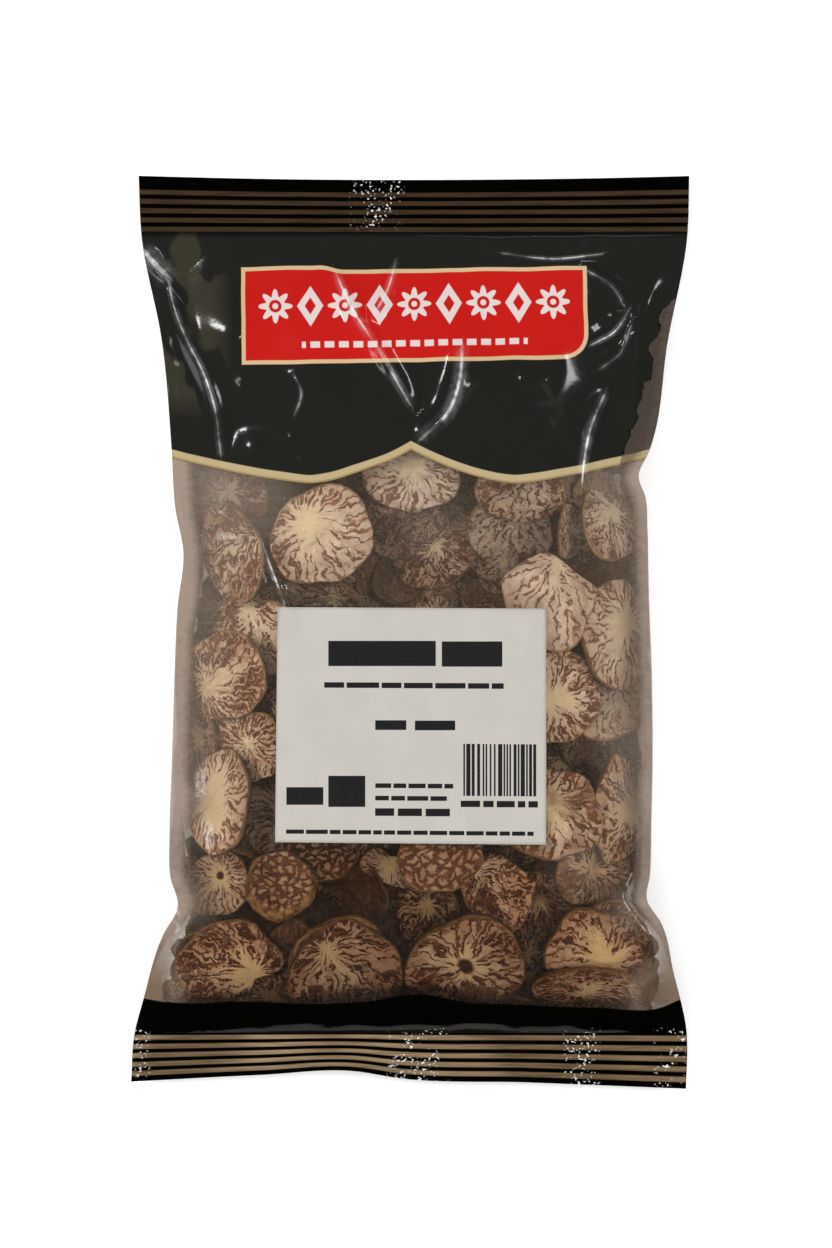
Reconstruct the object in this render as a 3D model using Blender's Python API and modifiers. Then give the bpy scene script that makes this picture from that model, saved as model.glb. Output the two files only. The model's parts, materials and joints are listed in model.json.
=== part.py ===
"""A sealed pillow pouch of sliced betel nut, lying on its back.

The pouch is one solid of film and contents: a crimped header seal, a puffed body whose
front shows the slices that press on it, flared corners and a crimped foot seal. A thin
square label lies on the front. +Y runs to the header, +X to the label's right, +Z up
out of the front, and the origin is under the middle of the pouch, where it rests.
"""

import math
from dataclasses import dataclass

import bmesh
import bpy
import numpy as np

MM = 0.001

# Overall layout along the length, in millimetres
HEADER_TIP = 109.4
HEADER_ROOT = 95.1
FOOT_ROOT = -95.6
FOOT_TIP = -108.0
SEAL_THICKNESS = 1.0
CRIMP_PITCH = 2.23
CRIMP_DEPTH = 0.55
CRIMP_COUNT = 5
CRIMP_MARGIN = 1.5
BODY_ROWS = 50
COLUMNS = 32

# Side outlines as (y, x), from the header's tip to the foot's tip
LEFT_EDGE = (
    (109.4, -65.1), (95.1, -64.4), (70.0, -59.5), (43.0, -57.0), (30.0, -56.2), (19.0, -54.2),
    (6.0, -55.6), (-10.0, -56.3), (-30.0, -56.9), (-48.0, -57.5), (-58.0, -57.4), (-65.9, -55.6),
    (-72.0, -58.9), (-88.0, -63.9), (-96.0, -66.0), (-108.0, -66.9),
)
RIGHT_EDGE = (
    (109.4, 66.9), (95.1, 66.4), (70.0, 61.7), (43.0, 57.0), (37.5, 54.6), (32.0, 56.3), (25.0, 56.7),
    (10.0, 57.0), (-10.0, 57.7), (-30.0, 57.9), (-46.0, 57.6), (-58.0, 57.3), (-64.0, 56.6),
    (-69.5, 60.0), (-81.0, 62.9), (-96.0, 66.2), (-108.0, 66.1),
)

# Heights above the rest plane as (y, z): the side line, the front's crest and the back's lowest line
SIDE_HEIGHT = (
    (109.4, 4.6), (95.1, 6.0), (70.0, 9.5), (40.0, 12.0), (0.0, 12.8), (-58.0, 12.5), (-78.0, 11.2),
    (-95.6, 8.6), (-108.0, 5.2),
)
FRONT_CREST = (
    (95.1, 6.4), (88.0, 10.4), (76.0, 15.6), (58.0, 20.4), (40.0, 24.0), (15.0, 26.6), (-20.0, 27.4),
    (-56.0, 27.0), (-70.0, 25.6), (-80.0, 22.6), (-88.0, 16.8), (-95.6, 9.0),
)
BACK_LINE = (
    (95.1, 5.5), (88.0, 2.4), (80.0, 0.4), (76.0, 0.0),
    (-80.0, 0.0), (-84.0, 0.5), (-90.0, 3.5), (-95.6, 8.1),
)

# A cross-section is (1 - |u|^SQUARENESS)^roundness: low values give upright sides, high ones thin ears
SQUARENESS = 3.2
ROUNDNESS = ((95.1, 1.5), (72.0, 1.0), (45.0, 0.62), (20.0, 0.5), (-60.0, 0.5), (-72.0, 0.85), (-95.6, 1.6))
BACK_FLATNESS = 1.14

# The seals wave a little, up and down and along the pouch; the phases are in radians
SEAL_WAVE_HEIGHT = 0.7
SEAL_HALF_WAVES = 1.5
HEADER_WAVE_PHASE = 0.6
FOOT_WAVE_PHASE = 2.1
HEADER_DIP = 1.0
FOOT_LIFT = ((-66.9, 0.3), (-36.0, 1.9), (-13.0, 2.8), (-3.0, 1.2), (28.0, 0.1), (66.5, -1.4))

# The label and its place on the front
LABEL_LEFT, LABEL_RIGHT = -32.2, 32.4
LABEL_FOOT, LABEL_HEAD = -50.6, 6.0
LABEL_THICKNESS = 0.4
LABEL_GAP = 0.35
LABEL_CELLS = (13, 11)

# The label holds the film flat: how far past its edges that ends, over what width, and how low it lies
LABEL_REACH = 7.5
LABEL_FADE = 5.0
LABEL_SAG = 1.1

# How the film lies over the slices
FILM_SLACK = 2.2
FILM_PULL = 0.06
FILM_PASSES = 240

# Edges sharper than this many degrees are shaded as edges
SHARP_ANGLE = 50


@dataclass(frozen=True)
class Slice:
    """One slice that presses on the front film: its middle, radius, tilt and the way it leans."""

    x: float
    y: float
    radius: float
    tilt: float = 0.0
    leans_to: float = 0.0
    sunk: float = 0.0


@dataclass(frozen=True)
class Crease:
    """A soft ridge in the film through the given points."""

    points: tuple
    height: float
    width: float


# Angles are in degrees, and leans_to is 0 towards +X and 90 towards +Y
SLICES = (
    Slice(-43.7, 31.7, 9.6, 15, 90),
    Slice(-20.5, 23.3, 13.1, 12, 200),
    Slice(0.7, 38.9, 12.0, 14, 270),
    Slice(26.6, 34.6, 11.3, 28, 270),
    Slice(47.2, 25.0, 12.6, 44, 200),
    Slice(6.0, 20.2, 9.0, 15, 160, 2.0),
    Slice(23.9, 24.5, 9.6, 45, 270, 2.0),
    Slice(34.7, 7.7, 10.8, 12, 210, 0.5),
    Slice(-43.5, 18.5, 12.7, 46, 185),
    Slice(-33.7, -2.3, 10.1, 18, 190, 1.0),
    Slice(-45.2, -9.1, 12.0, 25, 170, 1.0),
    Slice(-51.4, -27.0, 11.8, 62, 185),
    Slice(-45.2, -40.7, 13.2, 45, 190),
    Slice(-44.5, -60.7, 10.8, 18, 240, 0.5),
    Slice(-29.8, -59.4, 8.7, 20, 90),
    Slice(-16.0, -65.5, 10.8, 18, 60, 2.5),
    Slice(-43.5, -79.1, 13.2, 30, 268),
    Slice(-14.5, -79.9, 14.4, 32, 275),
    Slice(13.4, -79.9, 14.9, 34, 272),
    Slice(46.3, -77.5, 12.6, 26, 290),
    Slice(20.8, -64.3, 9.6, 12, 60, 1.0),
    Slice(7.1, -52.3, 10.1, 10, 80, 1.0),
    Slice(33.5, -43.1, 13.9, 22, 15),
    Slice(43.2, -56.6, 9.6, 20, 320, 1.5),
    Slice(52.3, -41.5, 12.5, 42, 350),
    Slice(49.1, 0.1, 14.4, 42, 345),
    Slice(32.3, -15.1, 11.5, 16, 200, 1.0),
    Slice(49.1, -17.5, 8.7, 35, 95),
)
CREASES = (
    Crease(
        ((-63.4, 89.8), (-57.7, 83.3), (-54.8, 72.5), (-49.3, 63.0), (-46.4, 54.5), (-45.2, 42.5)),
        1.8,
        2.6,
    ),
    Crease(((-17.3, 85.0), (-14.5, 78.5), (-8.5, 69.0), (0.0, 54.5)), 1.3, 2.6),
    Crease(((12.4, 67.7), (9.5, 57.0), (4.7, 47.3)), 1.5, 3.0),
    Crease(((46.3, 55.7), (42.0, 46.1), (40.7, 35.3)), 1.4, 2.4),
)

# Finishes as (red, green, blue), roughness and metallic
FILM_FINISH = ((0.30, 0.20, 0.15), 0.25, 0.0)
LABEL_FINISH = ((0.72, 0.71, 0.69), 0.45, 0.0)


def smooth_curve(points, at):
    """The smooth curve through (position, value) points, read at the positions given."""
    ordered = sorted(points)
    place = np.array([p[0] for p in ordered])
    value = np.array([p[1] for p in ordered])
    slope = np.gradient(value, place)
    at = np.clip(np.asarray(at, float), place[0], place[-1])
    cell = np.clip(np.searchsorted(place, at, side="right") - 1, 0, len(place) - 2)
    span = place[cell + 1] - place[cell]
    t = (at - place[cell]) / span
    return (
        (2 * t**3 - 3 * t**2 + 1) * value[cell]
        + (t**3 - 2 * t**2 + t) * span * slope[cell]
        + (3 * t**2 - 2 * t**3) * value[cell + 1]
        + (t**3 - t**2) * span * slope[cell + 1]
    )


def section(across, along):
    """How full the cross-section is, from 0 at the sides to 1 in the middle."""
    return np.clip(1 - np.abs(across) ** SQUARENESS, 0, 1) ** smooth_curve(ROUNDNESS, along)


def share_across(x, y):
    """Where x lies between the pouch's edges at y, from -1 at the left one to 1 at the right one."""
    left, right = smooth_curve(LEFT_EDGE, y), smooth_curve(RIGHT_EDGE, y)
    return np.clip((2 * x - left - right) / (right - left), -1, 1)


def pillow_height(x, y):
    """The front's height as if the film were stretched over an even filling."""
    side = smooth_curve(SIDE_HEIGHT, y)
    return side + (smooth_curve(FRONT_CREST, y) - side) * section(share_across(x, y), y)


def slice_tops(x, y):
    """The height of the highest slice under each point, with the slices raised to touch the pillow."""
    pillow = pillow_height(x, y)
    tops = np.full_like(pillow, -np.inf)
    for piece in SLICES:
        tilt, way = math.radians(piece.tilt), math.radians(piece.leans_to)
        dx, dy = x - piece.x, y - piece.y
        rise = -(dx * math.cos(way) + dy * math.sin(way)) * math.tan(tilt)
        under = dx**2 + dy**2 + rise**2 <= piece.radius**2
        if under.any():
            middle = (pillow - rise)[under].min() - piece.sunk
            tops[under] = np.maximum(tops[under], middle + rise[under])
    return tops


def crease_rise(x, y):
    """The height that the film's creases add at each point."""
    rise = np.zeros_like(x)
    for crease in CREASES:
        nearest = np.full_like(x, np.inf)
        for (ax, ay), (bx, by) in zip(crease.points, crease.points[1:]):
            length2 = (bx - ax) ** 2 + (by - ay) ** 2
            t = np.clip(((x - ax) * (bx - ax) + (y - ay) * (by - ay)) / length2, 0, 1)
            nearest = np.minimum(nearest, np.hypot(x - ax - t * (bx - ax), y - ay - t * (by - ay)))
        rise = np.maximum(rise, crease.height * np.exp(-((nearest / crease.width) ** 2)))
    return rise


def under_label(x, y):
    """1 under the label, fading to 0 past its edges."""
    out_x = np.maximum(np.maximum(LABEL_LEFT - x, x - LABEL_RIGHT), 0)
    out_y = np.maximum(np.maximum(LABEL_FOOT - y, y - LABEL_HEAD), 0)
    t = np.clip((LABEL_REACH - np.hypot(out_x, out_y)) / LABEL_FADE, 0, 1)
    return t * t * (3 - 2 * t)


def label_bed(x, y):
    """The smooth height of the film where the label holds it flat."""
    return pillow_height(x, y) - LABEL_SAG


def draped_front(x, y):
    """The front film's height over a grid of points: it rests on the slices and sags between them."""
    pillow = pillow_height(x, y)
    tops = slice_tops(x, y)
    held = under_label(x, y)
    sagged = pillow - FILM_SLACK * section(share_across(x, y), y)
    film = sagged.copy()
    for _ in range(FILM_PASSES):
        middle = (film[:-2, 1:-1] + film[2:, 1:-1] + film[1:-1, :-2] + film[1:-1, 2:]) / 4
        film[1:-1, 1:-1] = middle + FILM_PULL * (sagged[1:-1, 1:-1] - middle)
        film = np.maximum(film, tops)
    film = film + crease_rise(x, y)
    return film * (1 - held) + label_bed(x, y) * held


def crimp_rows(root, tip):
    """The (y, height) rows of a crimped seal from its root to its tip, crest and trough in turn."""
    way = 1 if tip > root else -1
    first = root + way * CRIMP_MARGIN
    rows = [(root, 0.0)]
    for k in range(2 * CRIMP_COUNT - 1):
        rows.append((first + way * k * CRIMP_PITCH / 2, CRIMP_DEPTH / 2 * (-1) ** k))
    return rows + [(tip, 0.0)]


def seal_ring(y, crimp, root, tip, across):
    """The front and back rows of points of one cross-section through a seal."""
    left, right = smooth_curve(LEFT_EDGE, y), smooth_curve(RIGHT_EDGE, y)
    x = left + (across + 1) / 2 * (right - left)
    reach = (y - root) / (tip - root)
    if tip > root:
        shift = -HEADER_DIP * (1 - across**2)
        phase = HEADER_WAVE_PHASE
    else:
        shift = smooth_curve(FOOT_LIFT, x)
        phase = FOOT_WAVE_PHASE
    wave = SEAL_WAVE_HEIGHT * np.sin(across * math.pi * SEAL_HALF_WAVES + phase)
    middle = smooth_curve(SIDE_HEIGHT, y) + crimp + wave * reach
    front = np.column_stack([x, y + shift * reach, middle + SEAL_THICKNESS / 2])
    back = np.column_stack([x, y + shift * reach, middle - SEAL_THICKNESS / 2])
    return front, back


def seal_rings(root, tip, across):
    """The cross-sections of a crimped seal, from its root to its tip."""
    return [seal_ring(y, crimp, root, tip, across) for y, crimp in crimp_rows(root, tip)]


def body_rings(across):
    """The front and back rows of points of the puffed body, from the header's root to the foot's."""
    rows = np.linspace(HEADER_ROOT, FOOT_ROOT, BODY_ROWS + 1)
    left, right = smooth_curve(LEFT_EDGE, rows), smooth_curve(RIGHT_EDGE, rows)
    x = left[:, None] + (across[None, :] + 1) / 2 * (right - left)[:, None]
    y = np.repeat(rows[:, None], len(across), axis=1)
    side = smooth_curve(SIDE_HEIGHT, y)
    under_side = side - SEAL_THICKNESS / 2
    fullness = np.minimum(BACK_FLATNESS * section(share_across(x, y), y), 1)
    back = under_side + (smooth_curve(BACK_LINE, y) - under_side) * fullness
    back = np.minimum(np.maximum(back, 0), under_side)
    front = np.maximum(draped_front(x, y), side) + SEAL_THICKNESS / 2
    return [
        (np.column_stack([x[j], y[j], front[j]]), np.column_stack([x[j], y[j], back[j]]))
        for j in range(len(rows))
    ]


def loft(rings):
    """A closed mesh through rings of points that all have as many points, capped at both ends."""
    shape = bmesh.new()
    made = [[shape.verts.new([c * MM for c in point]) for point in ring] for ring in rings]
    count = len(made[0])
    for near, far in zip(made, made[1:]):
        for i in range(count):
            j = (i + 1) % count
            shape.faces.new((near[i], near[j], far[j], far[i]))
    shape.faces.new(made[0])
    shape.faces.new(reversed(made[-1]))
    bmesh.ops.recalc_face_normals(shape, faces=shape.faces)
    return shape


def finish_material(name, finish):
    """A Principled BSDF with the colour, roughness and metallic value given."""
    colour, roughness, metallic = finish
    material = bpy.data.materials.new(name)
    material.use_nodes = True
    shader = material.node_tree.nodes["Principled BSDF"]
    shader.inputs["Base Color"].default_value = (*colour, 1.0)
    shader.inputs["Roughness"].default_value = roughness
    shader.inputs["Metallic"].default_value = metallic
    material.diffuse_color = (*colour, 1.0)
    return material


def make_pouch(collection):
    """The sealed pouch, film and contents in one solid."""
    across = np.sin(np.linspace(-math.pi / 2, math.pi / 2, COLUMNS + 1))
    header = seal_rings(HEADER_ROOT, HEADER_TIP, across)
    foot = seal_rings(FOOT_ROOT, FOOT_TIP, across)
    pairs = header[:0:-1] + body_rings(across) + foot[1:]
    shape = loft([np.vstack([front, back[::-1]]) for front, back in pairs])
    mesh = bpy.data.meshes.new("pouch")
    shape.to_mesh(mesh)
    shape.free()
    mesh.shade_smooth()
    mesh.set_sharp_from_angle(angle=math.radians(SHARP_ANGLE))
    pouch = bpy.data.objects.new("pouch", mesh)
    pouch.data.materials.append(finish_material("film_and_slices", FILM_FINISH))
    collection.objects.link(pouch)
    return pouch


def make_label(collection):
    """The thin square label, bent to the film under it."""
    bpy.ops.mesh.primitive_grid_add(x_subdivisions=LABEL_CELLS[0], y_subdivisions=LABEL_CELLS[1], size=1.0)
    label = bpy.context.object
    label.name = label.data.name = "label"
    for vertex in label.data.vertices:
        x = LABEL_LEFT + (vertex.co.x + 0.5) * (LABEL_RIGHT - LABEL_LEFT)
        y = LABEL_FOOT + (vertex.co.y + 0.5) * (LABEL_HEAD - LABEL_FOOT)
        bed = float(label_bed(np.array([x]), np.array([y]))[0]) + SEAL_THICKNESS / 2
        vertex.co = (x * MM, y * MM, (bed + LABEL_GAP) * MM)
    paper = label.modifiers.new("paper", "SOLIDIFY")
    paper.thickness = LABEL_THICKNESS * MM
    paper.offset = 1.0
    label.data.materials.append(finish_material("label_paper", LABEL_FINISH))
    for holder in list(label.users_collection):
        holder.objects.unlink(label)
    collection.objects.link(label)
    return label


def main():
    """Clears the scene and builds the pouch and its label."""
    for old in list(bpy.data.objects):
        bpy.data.objects.remove(old)
    collection = bpy.data.collections.new("betel_nut_pouch")
    bpy.context.scene.collection.children.link(collection)
    make_pouch(collection)
    make_label(collection)


main()
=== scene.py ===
"""The looks of a sealed clear-film pouch of sliced betel nut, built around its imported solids.

The film is one fine closed shell that lies over the slices, with its printed bands and panel, its
crimped seals and its creases. The slices are packed from the film inwards, front and back, and each
shows the branching veins of a cut areca nut. A paper sticker with plain printed bars lies on the front.
Lengths are in millimetres until a mesh is made, +Y runs to the header seal and +Z out of the front.
"""

import json
import logging
import math
from dataclasses import dataclass, field, replace
from enum import Enum
from typing import Any, Callable, Iterable, Sequence

import bpy
import numpy as np
from mathutils import Matrix, Vector

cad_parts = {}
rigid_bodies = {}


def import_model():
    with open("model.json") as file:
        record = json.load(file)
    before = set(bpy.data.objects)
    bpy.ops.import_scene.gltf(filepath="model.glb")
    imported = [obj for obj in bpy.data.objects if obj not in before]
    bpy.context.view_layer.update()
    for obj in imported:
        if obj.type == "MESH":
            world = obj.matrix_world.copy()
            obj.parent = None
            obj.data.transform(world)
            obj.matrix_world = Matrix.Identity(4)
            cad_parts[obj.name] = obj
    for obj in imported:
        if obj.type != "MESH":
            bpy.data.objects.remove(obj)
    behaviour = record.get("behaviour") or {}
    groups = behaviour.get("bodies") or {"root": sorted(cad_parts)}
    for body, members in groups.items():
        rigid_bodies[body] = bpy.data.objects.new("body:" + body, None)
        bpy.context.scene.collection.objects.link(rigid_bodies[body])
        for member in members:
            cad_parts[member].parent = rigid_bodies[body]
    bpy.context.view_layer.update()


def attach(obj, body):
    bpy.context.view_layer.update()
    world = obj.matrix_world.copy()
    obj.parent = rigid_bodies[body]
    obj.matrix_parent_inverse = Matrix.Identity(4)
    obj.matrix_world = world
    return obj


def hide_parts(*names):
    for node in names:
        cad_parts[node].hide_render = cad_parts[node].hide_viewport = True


MM = 0.001
PHOTO_SIZE = (832, 1248)

# Half a slice's thickness in its own radii: a plain slice, and a cap cut off a nut's end
SLICE_HALF_THICKNESS = 0.08
CAP_HALF_THICKNESS = 0.30

# Heights in millimetres that stand for "nothing is here", well outside the pouch
FAR_BELOW = -50.0
FAR_ABOVE = 90.0

Points = Sequence[tuple[float, float]]
Colour = tuple[float, float, float]
Array = np.ndarray
Object = bpy.types.Object
Material = bpy.types.Material
Socket = bpy.types.NodeSocket

log = logging.getLogger("betel_nut_pouch")


def smooth_curve(points: Points, at: Any) -> Array:
    """Reads the smooth curve through some points.

    Args:
        points: (position, value) pairs in any order.
        at: the positions to read it at.

    Returns:
        The value at each position, held level past both ends.
    """
    ordered = sorted(points)
    place = np.array([p[0] for p in ordered])
    value = np.array([p[1] for p in ordered])
    slope = np.gradient(value, place)
    at = np.clip(np.asarray(at, float), place[0], place[-1])
    cell = np.clip(np.searchsorted(place, at, side="right") - 1, 0, len(place) - 2)
    span = place[cell + 1] - place[cell]
    t = (at - place[cell]) / span
    return (
        (2 * t**3 - 3 * t**2 + 1) * value[cell]
        + (t**3 - 2 * t**2 + t) * span * slope[cell]
        + (3 * t**2 - 2 * t**3) * value[cell + 1]
        + (t**3 - t**2) * span * slope[cell + 1]
    )


def smooth_step(low: float, high: float, value: Any) -> Array:
    """0 below low, 1 above high and an even S between them."""
    t = np.clip((np.asarray(value, float) - low) / (high - low), 0, 1)
    return t * t * (3 - 2 * t)


def signed_distance(points: Points, x: Array, y: Array) -> Array:
    """How far each (x, y) is from the broken line, above 0 on its left side and below 0 on its right."""
    nearest = np.full(np.shape(x), np.inf)
    for (ax, ay), (bx, by) in zip(points, points[1:]):
        dx, dy = bx - ax, by - ay
        t = np.clip(((x - ax) * dx + (y - ay) * dy) / (dx * dx + dy * dy), 0, 1)
        away = np.hypot(x - ax - t * dx, y - ay - t * dy)
        side = np.where(dx * (y - ay) - dy * (x - ax) < 0, -1.0, 1.0)
        nearest = np.where(away < np.abs(nearest), away * side, nearest)
    return nearest


def link(obj: Object) -> Object:
    """Puts an object in the scene and hands it back."""
    bpy.context.scene.collection.objects.link(obj)
    return obj


def mesh_object(name: str, points_mm: Array, faces: Iterable[Sequence[int]]) -> Object:
    """Makes a smooth-shaded mesh object at the origin.

    Args:
        name: the object's and mesh's name.
        points_mm: one (x, y, z) row per vertex, in millimetres.
        faces: vertex numbers, counter-clockwise from outside.

    Returns:
        The object, linked into the scene.
    """
    mesh = bpy.data.meshes.new(name)
    mesh.from_pydata((np.asarray(points_mm) * MM).tolist(), [], [list(map(int, f)) for f in faces])
    mesh.shade_smooth()
    mesh.update()
    return link(bpy.data.objects.new(name, mesh))


def add_attribute(mesh: bpy.types.Mesh, name: str, kind: str, values: Any) -> None:
    """Stores one value per vertex on a mesh, as FLOAT, INT or FLOAT_VECTOR."""
    attribute = mesh.attributes.new(name, kind, "POINT")
    key = "vector" if kind == "FLOAT_VECTOR" else "value"
    attribute.data.foreach_set(key, np.ascontiguousarray(values).ravel())


# The pouch's form


@dataclass(frozen=True)
class PouchForm:
    """The pouch's outline and heights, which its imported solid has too."""

    header_tip: float = 109.4
    header_root: float = 95.1
    foot_root: float = -95.6
    foot_tip: float = -108.0
    left_edge: Points = (
        (109.4, -65.1), (95.1, -64.4), (70, -59.5), (43, -57), (30, -56.2), (19, -54.2),
        (6, -55.6), (-10, -56.3), (-30, -56.9), (-48, -57.5), (-58, -57.4), (-65.9, -55.6),
        (-72, -58.9), (-88, -63.9), (-96, -66), (-108, -66.9),
    )
    right_edge: Points = (
        (109.4, 66.9), (95.1, 66.4), (70, 61.7), (43, 57), (37.5, 54.6), (32, 56.3), (25, 56.7),
        (10, 57), (-10, 57.7), (-30, 57.9), (-46, 57.6), (-58, 57.3), (-64, 56.6),
        (-69.5, 60), (-81, 62.9), (-96, 66.2), (-108, 66.1),
    )
    side_height: Points = (
        (109.4, 4.6), (95.1, 6), (70, 9.5), (40, 12), (0, 12.8), (-58, 12.5),
        (-78, 11.2), (-95.6, 8.6), (-108, 5.2),
    )
    front_crest: Points = (
        (95.1, 6.4), (88, 10.4), (76, 15.6), (58, 20.4), (40, 24), (15, 26.6),
        (-20, 27.4), (-56, 27), (-70, 25.6), (-80, 22.6), (-88, 16.8), (-95.6, 9),
    )
    back_line: Points = (
        (95.1, 5.5), (88, 2.4), (80, 0.4), (76, 0),
        (-80, 0), (-84, 0.5), (-90, 3.5), (-95.6, 8.1),
    )
    squareness: float = 3.2
    roundness: Points = (
        (95.1, 1.5), (72, 1), (45, 0.62), (20, 0.5), (-60, 0.5), (-72, 0.85), (-95.6, 1.6),
    )
    back_flatness: float = 1.14
    seal_thickness: float = 0.5
    crimp_pitch: float = 2.23
    crimp_depth: float = 0.5
    crimp_margin: float = 1.5
    crimp_count: int = 5
    seal_wave_height: float = 0.7
    seal_half_waves: float = 1.5
    header_wave_phase: float = 0.6
    foot_wave_phase: float = 2.1
    header_dip: float = 1.0
    foot_lift: Points = (
        (-66.9, 0.3), (-36, 1.9), (-13, 2.8), (-3, 1.2), (28, 0.1), (66.5, -1.4),
    )

    def edges(self, y: Any) -> tuple[Array, Array]:
        """The pouch's left and right edges at y."""
        return smooth_curve(self.left_edge, y), smooth_curve(self.right_edge, y)

    def share_across(self, x: Any, y: Any) -> Array:
        """Where x lies between the edges at y, from -1 at the left to 1 at the right."""
        left, right = self.edges(y)
        return np.clip((2 * x - left - right) / (right - left), -1, 1)

    def section(self, x: Any, y: Any) -> Array:
        """How full the cross-section is, from 0 at the sides to 1 in the middle."""
        across = np.abs(self.share_across(x, y))
        return np.clip(1 - across**self.squareness, 0, 1) ** smooth_curve(self.roundness, y)

    def side(self, y: Any) -> Array:
        """The height of the side line at y."""
        return smooth_curve(self.side_height, y)

    def pillow(self, x: Any, y: Any) -> Array:
        """The front's height as if the film were stretched over an even filling."""
        side = self.side(y)
        return side + (smooth_curve(self.front_crest, y) - side) * self.section(x, y)

    def back(self, x: Any, y: Any) -> Array:
        """The back's height."""
        side = self.side(y) - self.seal_thickness / 2
        fullness = np.minimum(self.back_flatness * self.section(x, y), 1)
        return np.clip(side + (smooth_curve(self.back_line, y) - side) * fullness, 0, side)

    def crimp(self, y: Any) -> Array:
        """How far the crimps of the seals lift the film at y."""
        into = np.maximum(y - self.header_root, self.foot_root - y)
        phase = (into - self.crimp_margin) / self.crimp_pitch
        held = smooth_step(0.2, 0.9, into) * smooth_step(self.crimp_count, self.crimp_count - 0.4, phase)
        return self.crimp_depth / 2 * np.cos(2 * math.pi * phase) * held

    def seal_shift(self, x: Any, y: Any) -> tuple[Array, Array]:
        """How far the seals' waves move the film along the pouch and up, at a seal point."""
        across = self.share_across(x, y)
        is_header = y > 0
        up_reach = np.clip((y - self.header_root) / (self.header_tip - self.header_root), 0, 1)
        down_reach = np.clip((y - self.foot_root) / (self.foot_tip - self.foot_root), 0, 1)
        reach = np.where(is_header, up_reach, down_reach)
        along = np.where(is_header, -self.header_dip * (1 - across**2), smooth_curve(self.foot_lift, x))
        phase = np.where(is_header, self.header_wave_phase, self.foot_wave_phase)
        wave = self.seal_wave_height * np.sin(across * math.pi * self.seal_half_waves + phase)
        return along * reach, wave * reach


@dataclass
class Relief:
    """An even grid of heights over the pouch's outline, rows along +Y and columns along +X."""

    step: float = 0.8
    reach_x: float = 70.4
    reach_y: float = 112.0
    x: Array = field(init=False)
    y: Array = field(init=False)

    def __post_init__(self) -> None:
        """Lays out the grid."""
        across = np.arange(-self.reach_x, self.reach_x + self.step / 2, self.step)
        along = np.arange(-self.reach_y, self.reach_y + self.step / 2, self.step)
        self.x, self.y = np.meshgrid(across, along)

    def cell(self, x: Any, y: Any) -> tuple[Array, Array]:
        """The row and column, in parts of a cell, of each point."""
        row = np.clip((np.asarray(y, float) + self.reach_y) / self.step, 0, self.x.shape[0] - 1.001)
        column = np.clip((np.asarray(x, float) + self.reach_x) / self.step, 0, self.x.shape[1] - 1.001)
        return row, column

    def read(self, heights: Array, x: Any, y: Any) -> Array:
        """Reads a height field between its grid points."""
        row, column = self.cell(x, y)
        j, i = row.astype(int), column.astype(int)
        v, u = row - j, column - i
        low = heights[j, i] * (1 - u) + heights[j, i + 1] * u
        high = heights[j + 1, i] * (1 - u) + heights[j + 1, i + 1] * u
        return low * (1 - v) + high * v

    def window(self, x: float, y: float, reach: float) -> tuple[slice, slice]:
        """The rows and columns within reach of a point."""
        (j0, i0), (j1, i1) = self.cell(x - reach, y - reach), self.cell(x + reach, y + reach)
        return slice(int(j0), int(j1) + 2), slice(int(i0), int(i1) + 2)

    def noise(self, seed: int, wavelength: float) -> Array:
        """A smooth random field of about unit height whose bumps are a wavelength apart."""
        rng = np.random.default_rng(seed)
        field_ = rng.standard_normal(self.x.shape)
        reach = max(1, int(wavelength / self.step / 3))
        for _ in range(3):
            for axis in (0, 1):
                field_ = sum(np.roll(field_, k, axis) for k in range(-reach, reach + 1))
        return field_ / field_.std()


# The slices


class Cut(Enum):
    """What a slice's face looks like, as (share of net over radial veins, darkness, share of skin)."""

    RADIAL = (0.0, 0.15, 0.0)
    PALE = (0.0, 0.0, 0.0)
    STREAKED = (0.0, 0.55, 0.0)
    MARBLED = (0.0, 0.72, 0.12)
    NET = (1.0, 0.45, 0.0)
    OLIVE = (0.0, 0.45, 0.45)
    SKIN = (0.0, 0.9, 1.0)
    AMBER = (0.0, 0.1, 0.2)


class Shape(Enum):
    """The outlines and profiles that slices are cut to, in the order of their meshes."""

    ROUND = 0
    OVAL = 1
    CURLED = 2
    DISHED = 3
    BROKEN = 4
    HALF = 5
    CAP = 6
    SHARD = 7
    NOTCHED = 8


@dataclass
class Chip:
    """One slice: its middle, size, tilt and the way it leans, and how it was cut.

    Angles are in degrees, and leans_to is 0 towards +X and 90 towards +Y. heart is the place of the
    pale heart on the face and heart_size its size, both in radii. aspect narrows the slice across its
    own length, which turn points. sunk is how far it lies below what it could touch, hollow the radius
    of the hole in its heart, tone how light it is, and z is set when it is packed.
    """

    x: float
    y: float
    radius: float
    tilt: float
    leans_to: float
    cut: Cut
    shape: Shape = Shape.ROUND
    heart: tuple[float, float] = (0.05, 0.08)
    heart_size: float = 0.2
    sunk: float = 0.0
    turn: float = 0.0
    aspect: float = 1.0
    hollow: float = 0.0
    tone: float = 1.0
    z: float = 0.0

    def matrix(self) -> Matrix:
        """The slice's turn: first about its own middle, then tilted over the way it leans."""
        way = Matrix.Rotation(math.radians(self.leans_to), 3, "Z")
        tip = Matrix.Rotation(math.radians(self.tilt), 3, "Y")
        own = Matrix.Rotation(math.radians(self.turn - self.leans_to), 3, "Z")
        return way @ tip @ own


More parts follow.
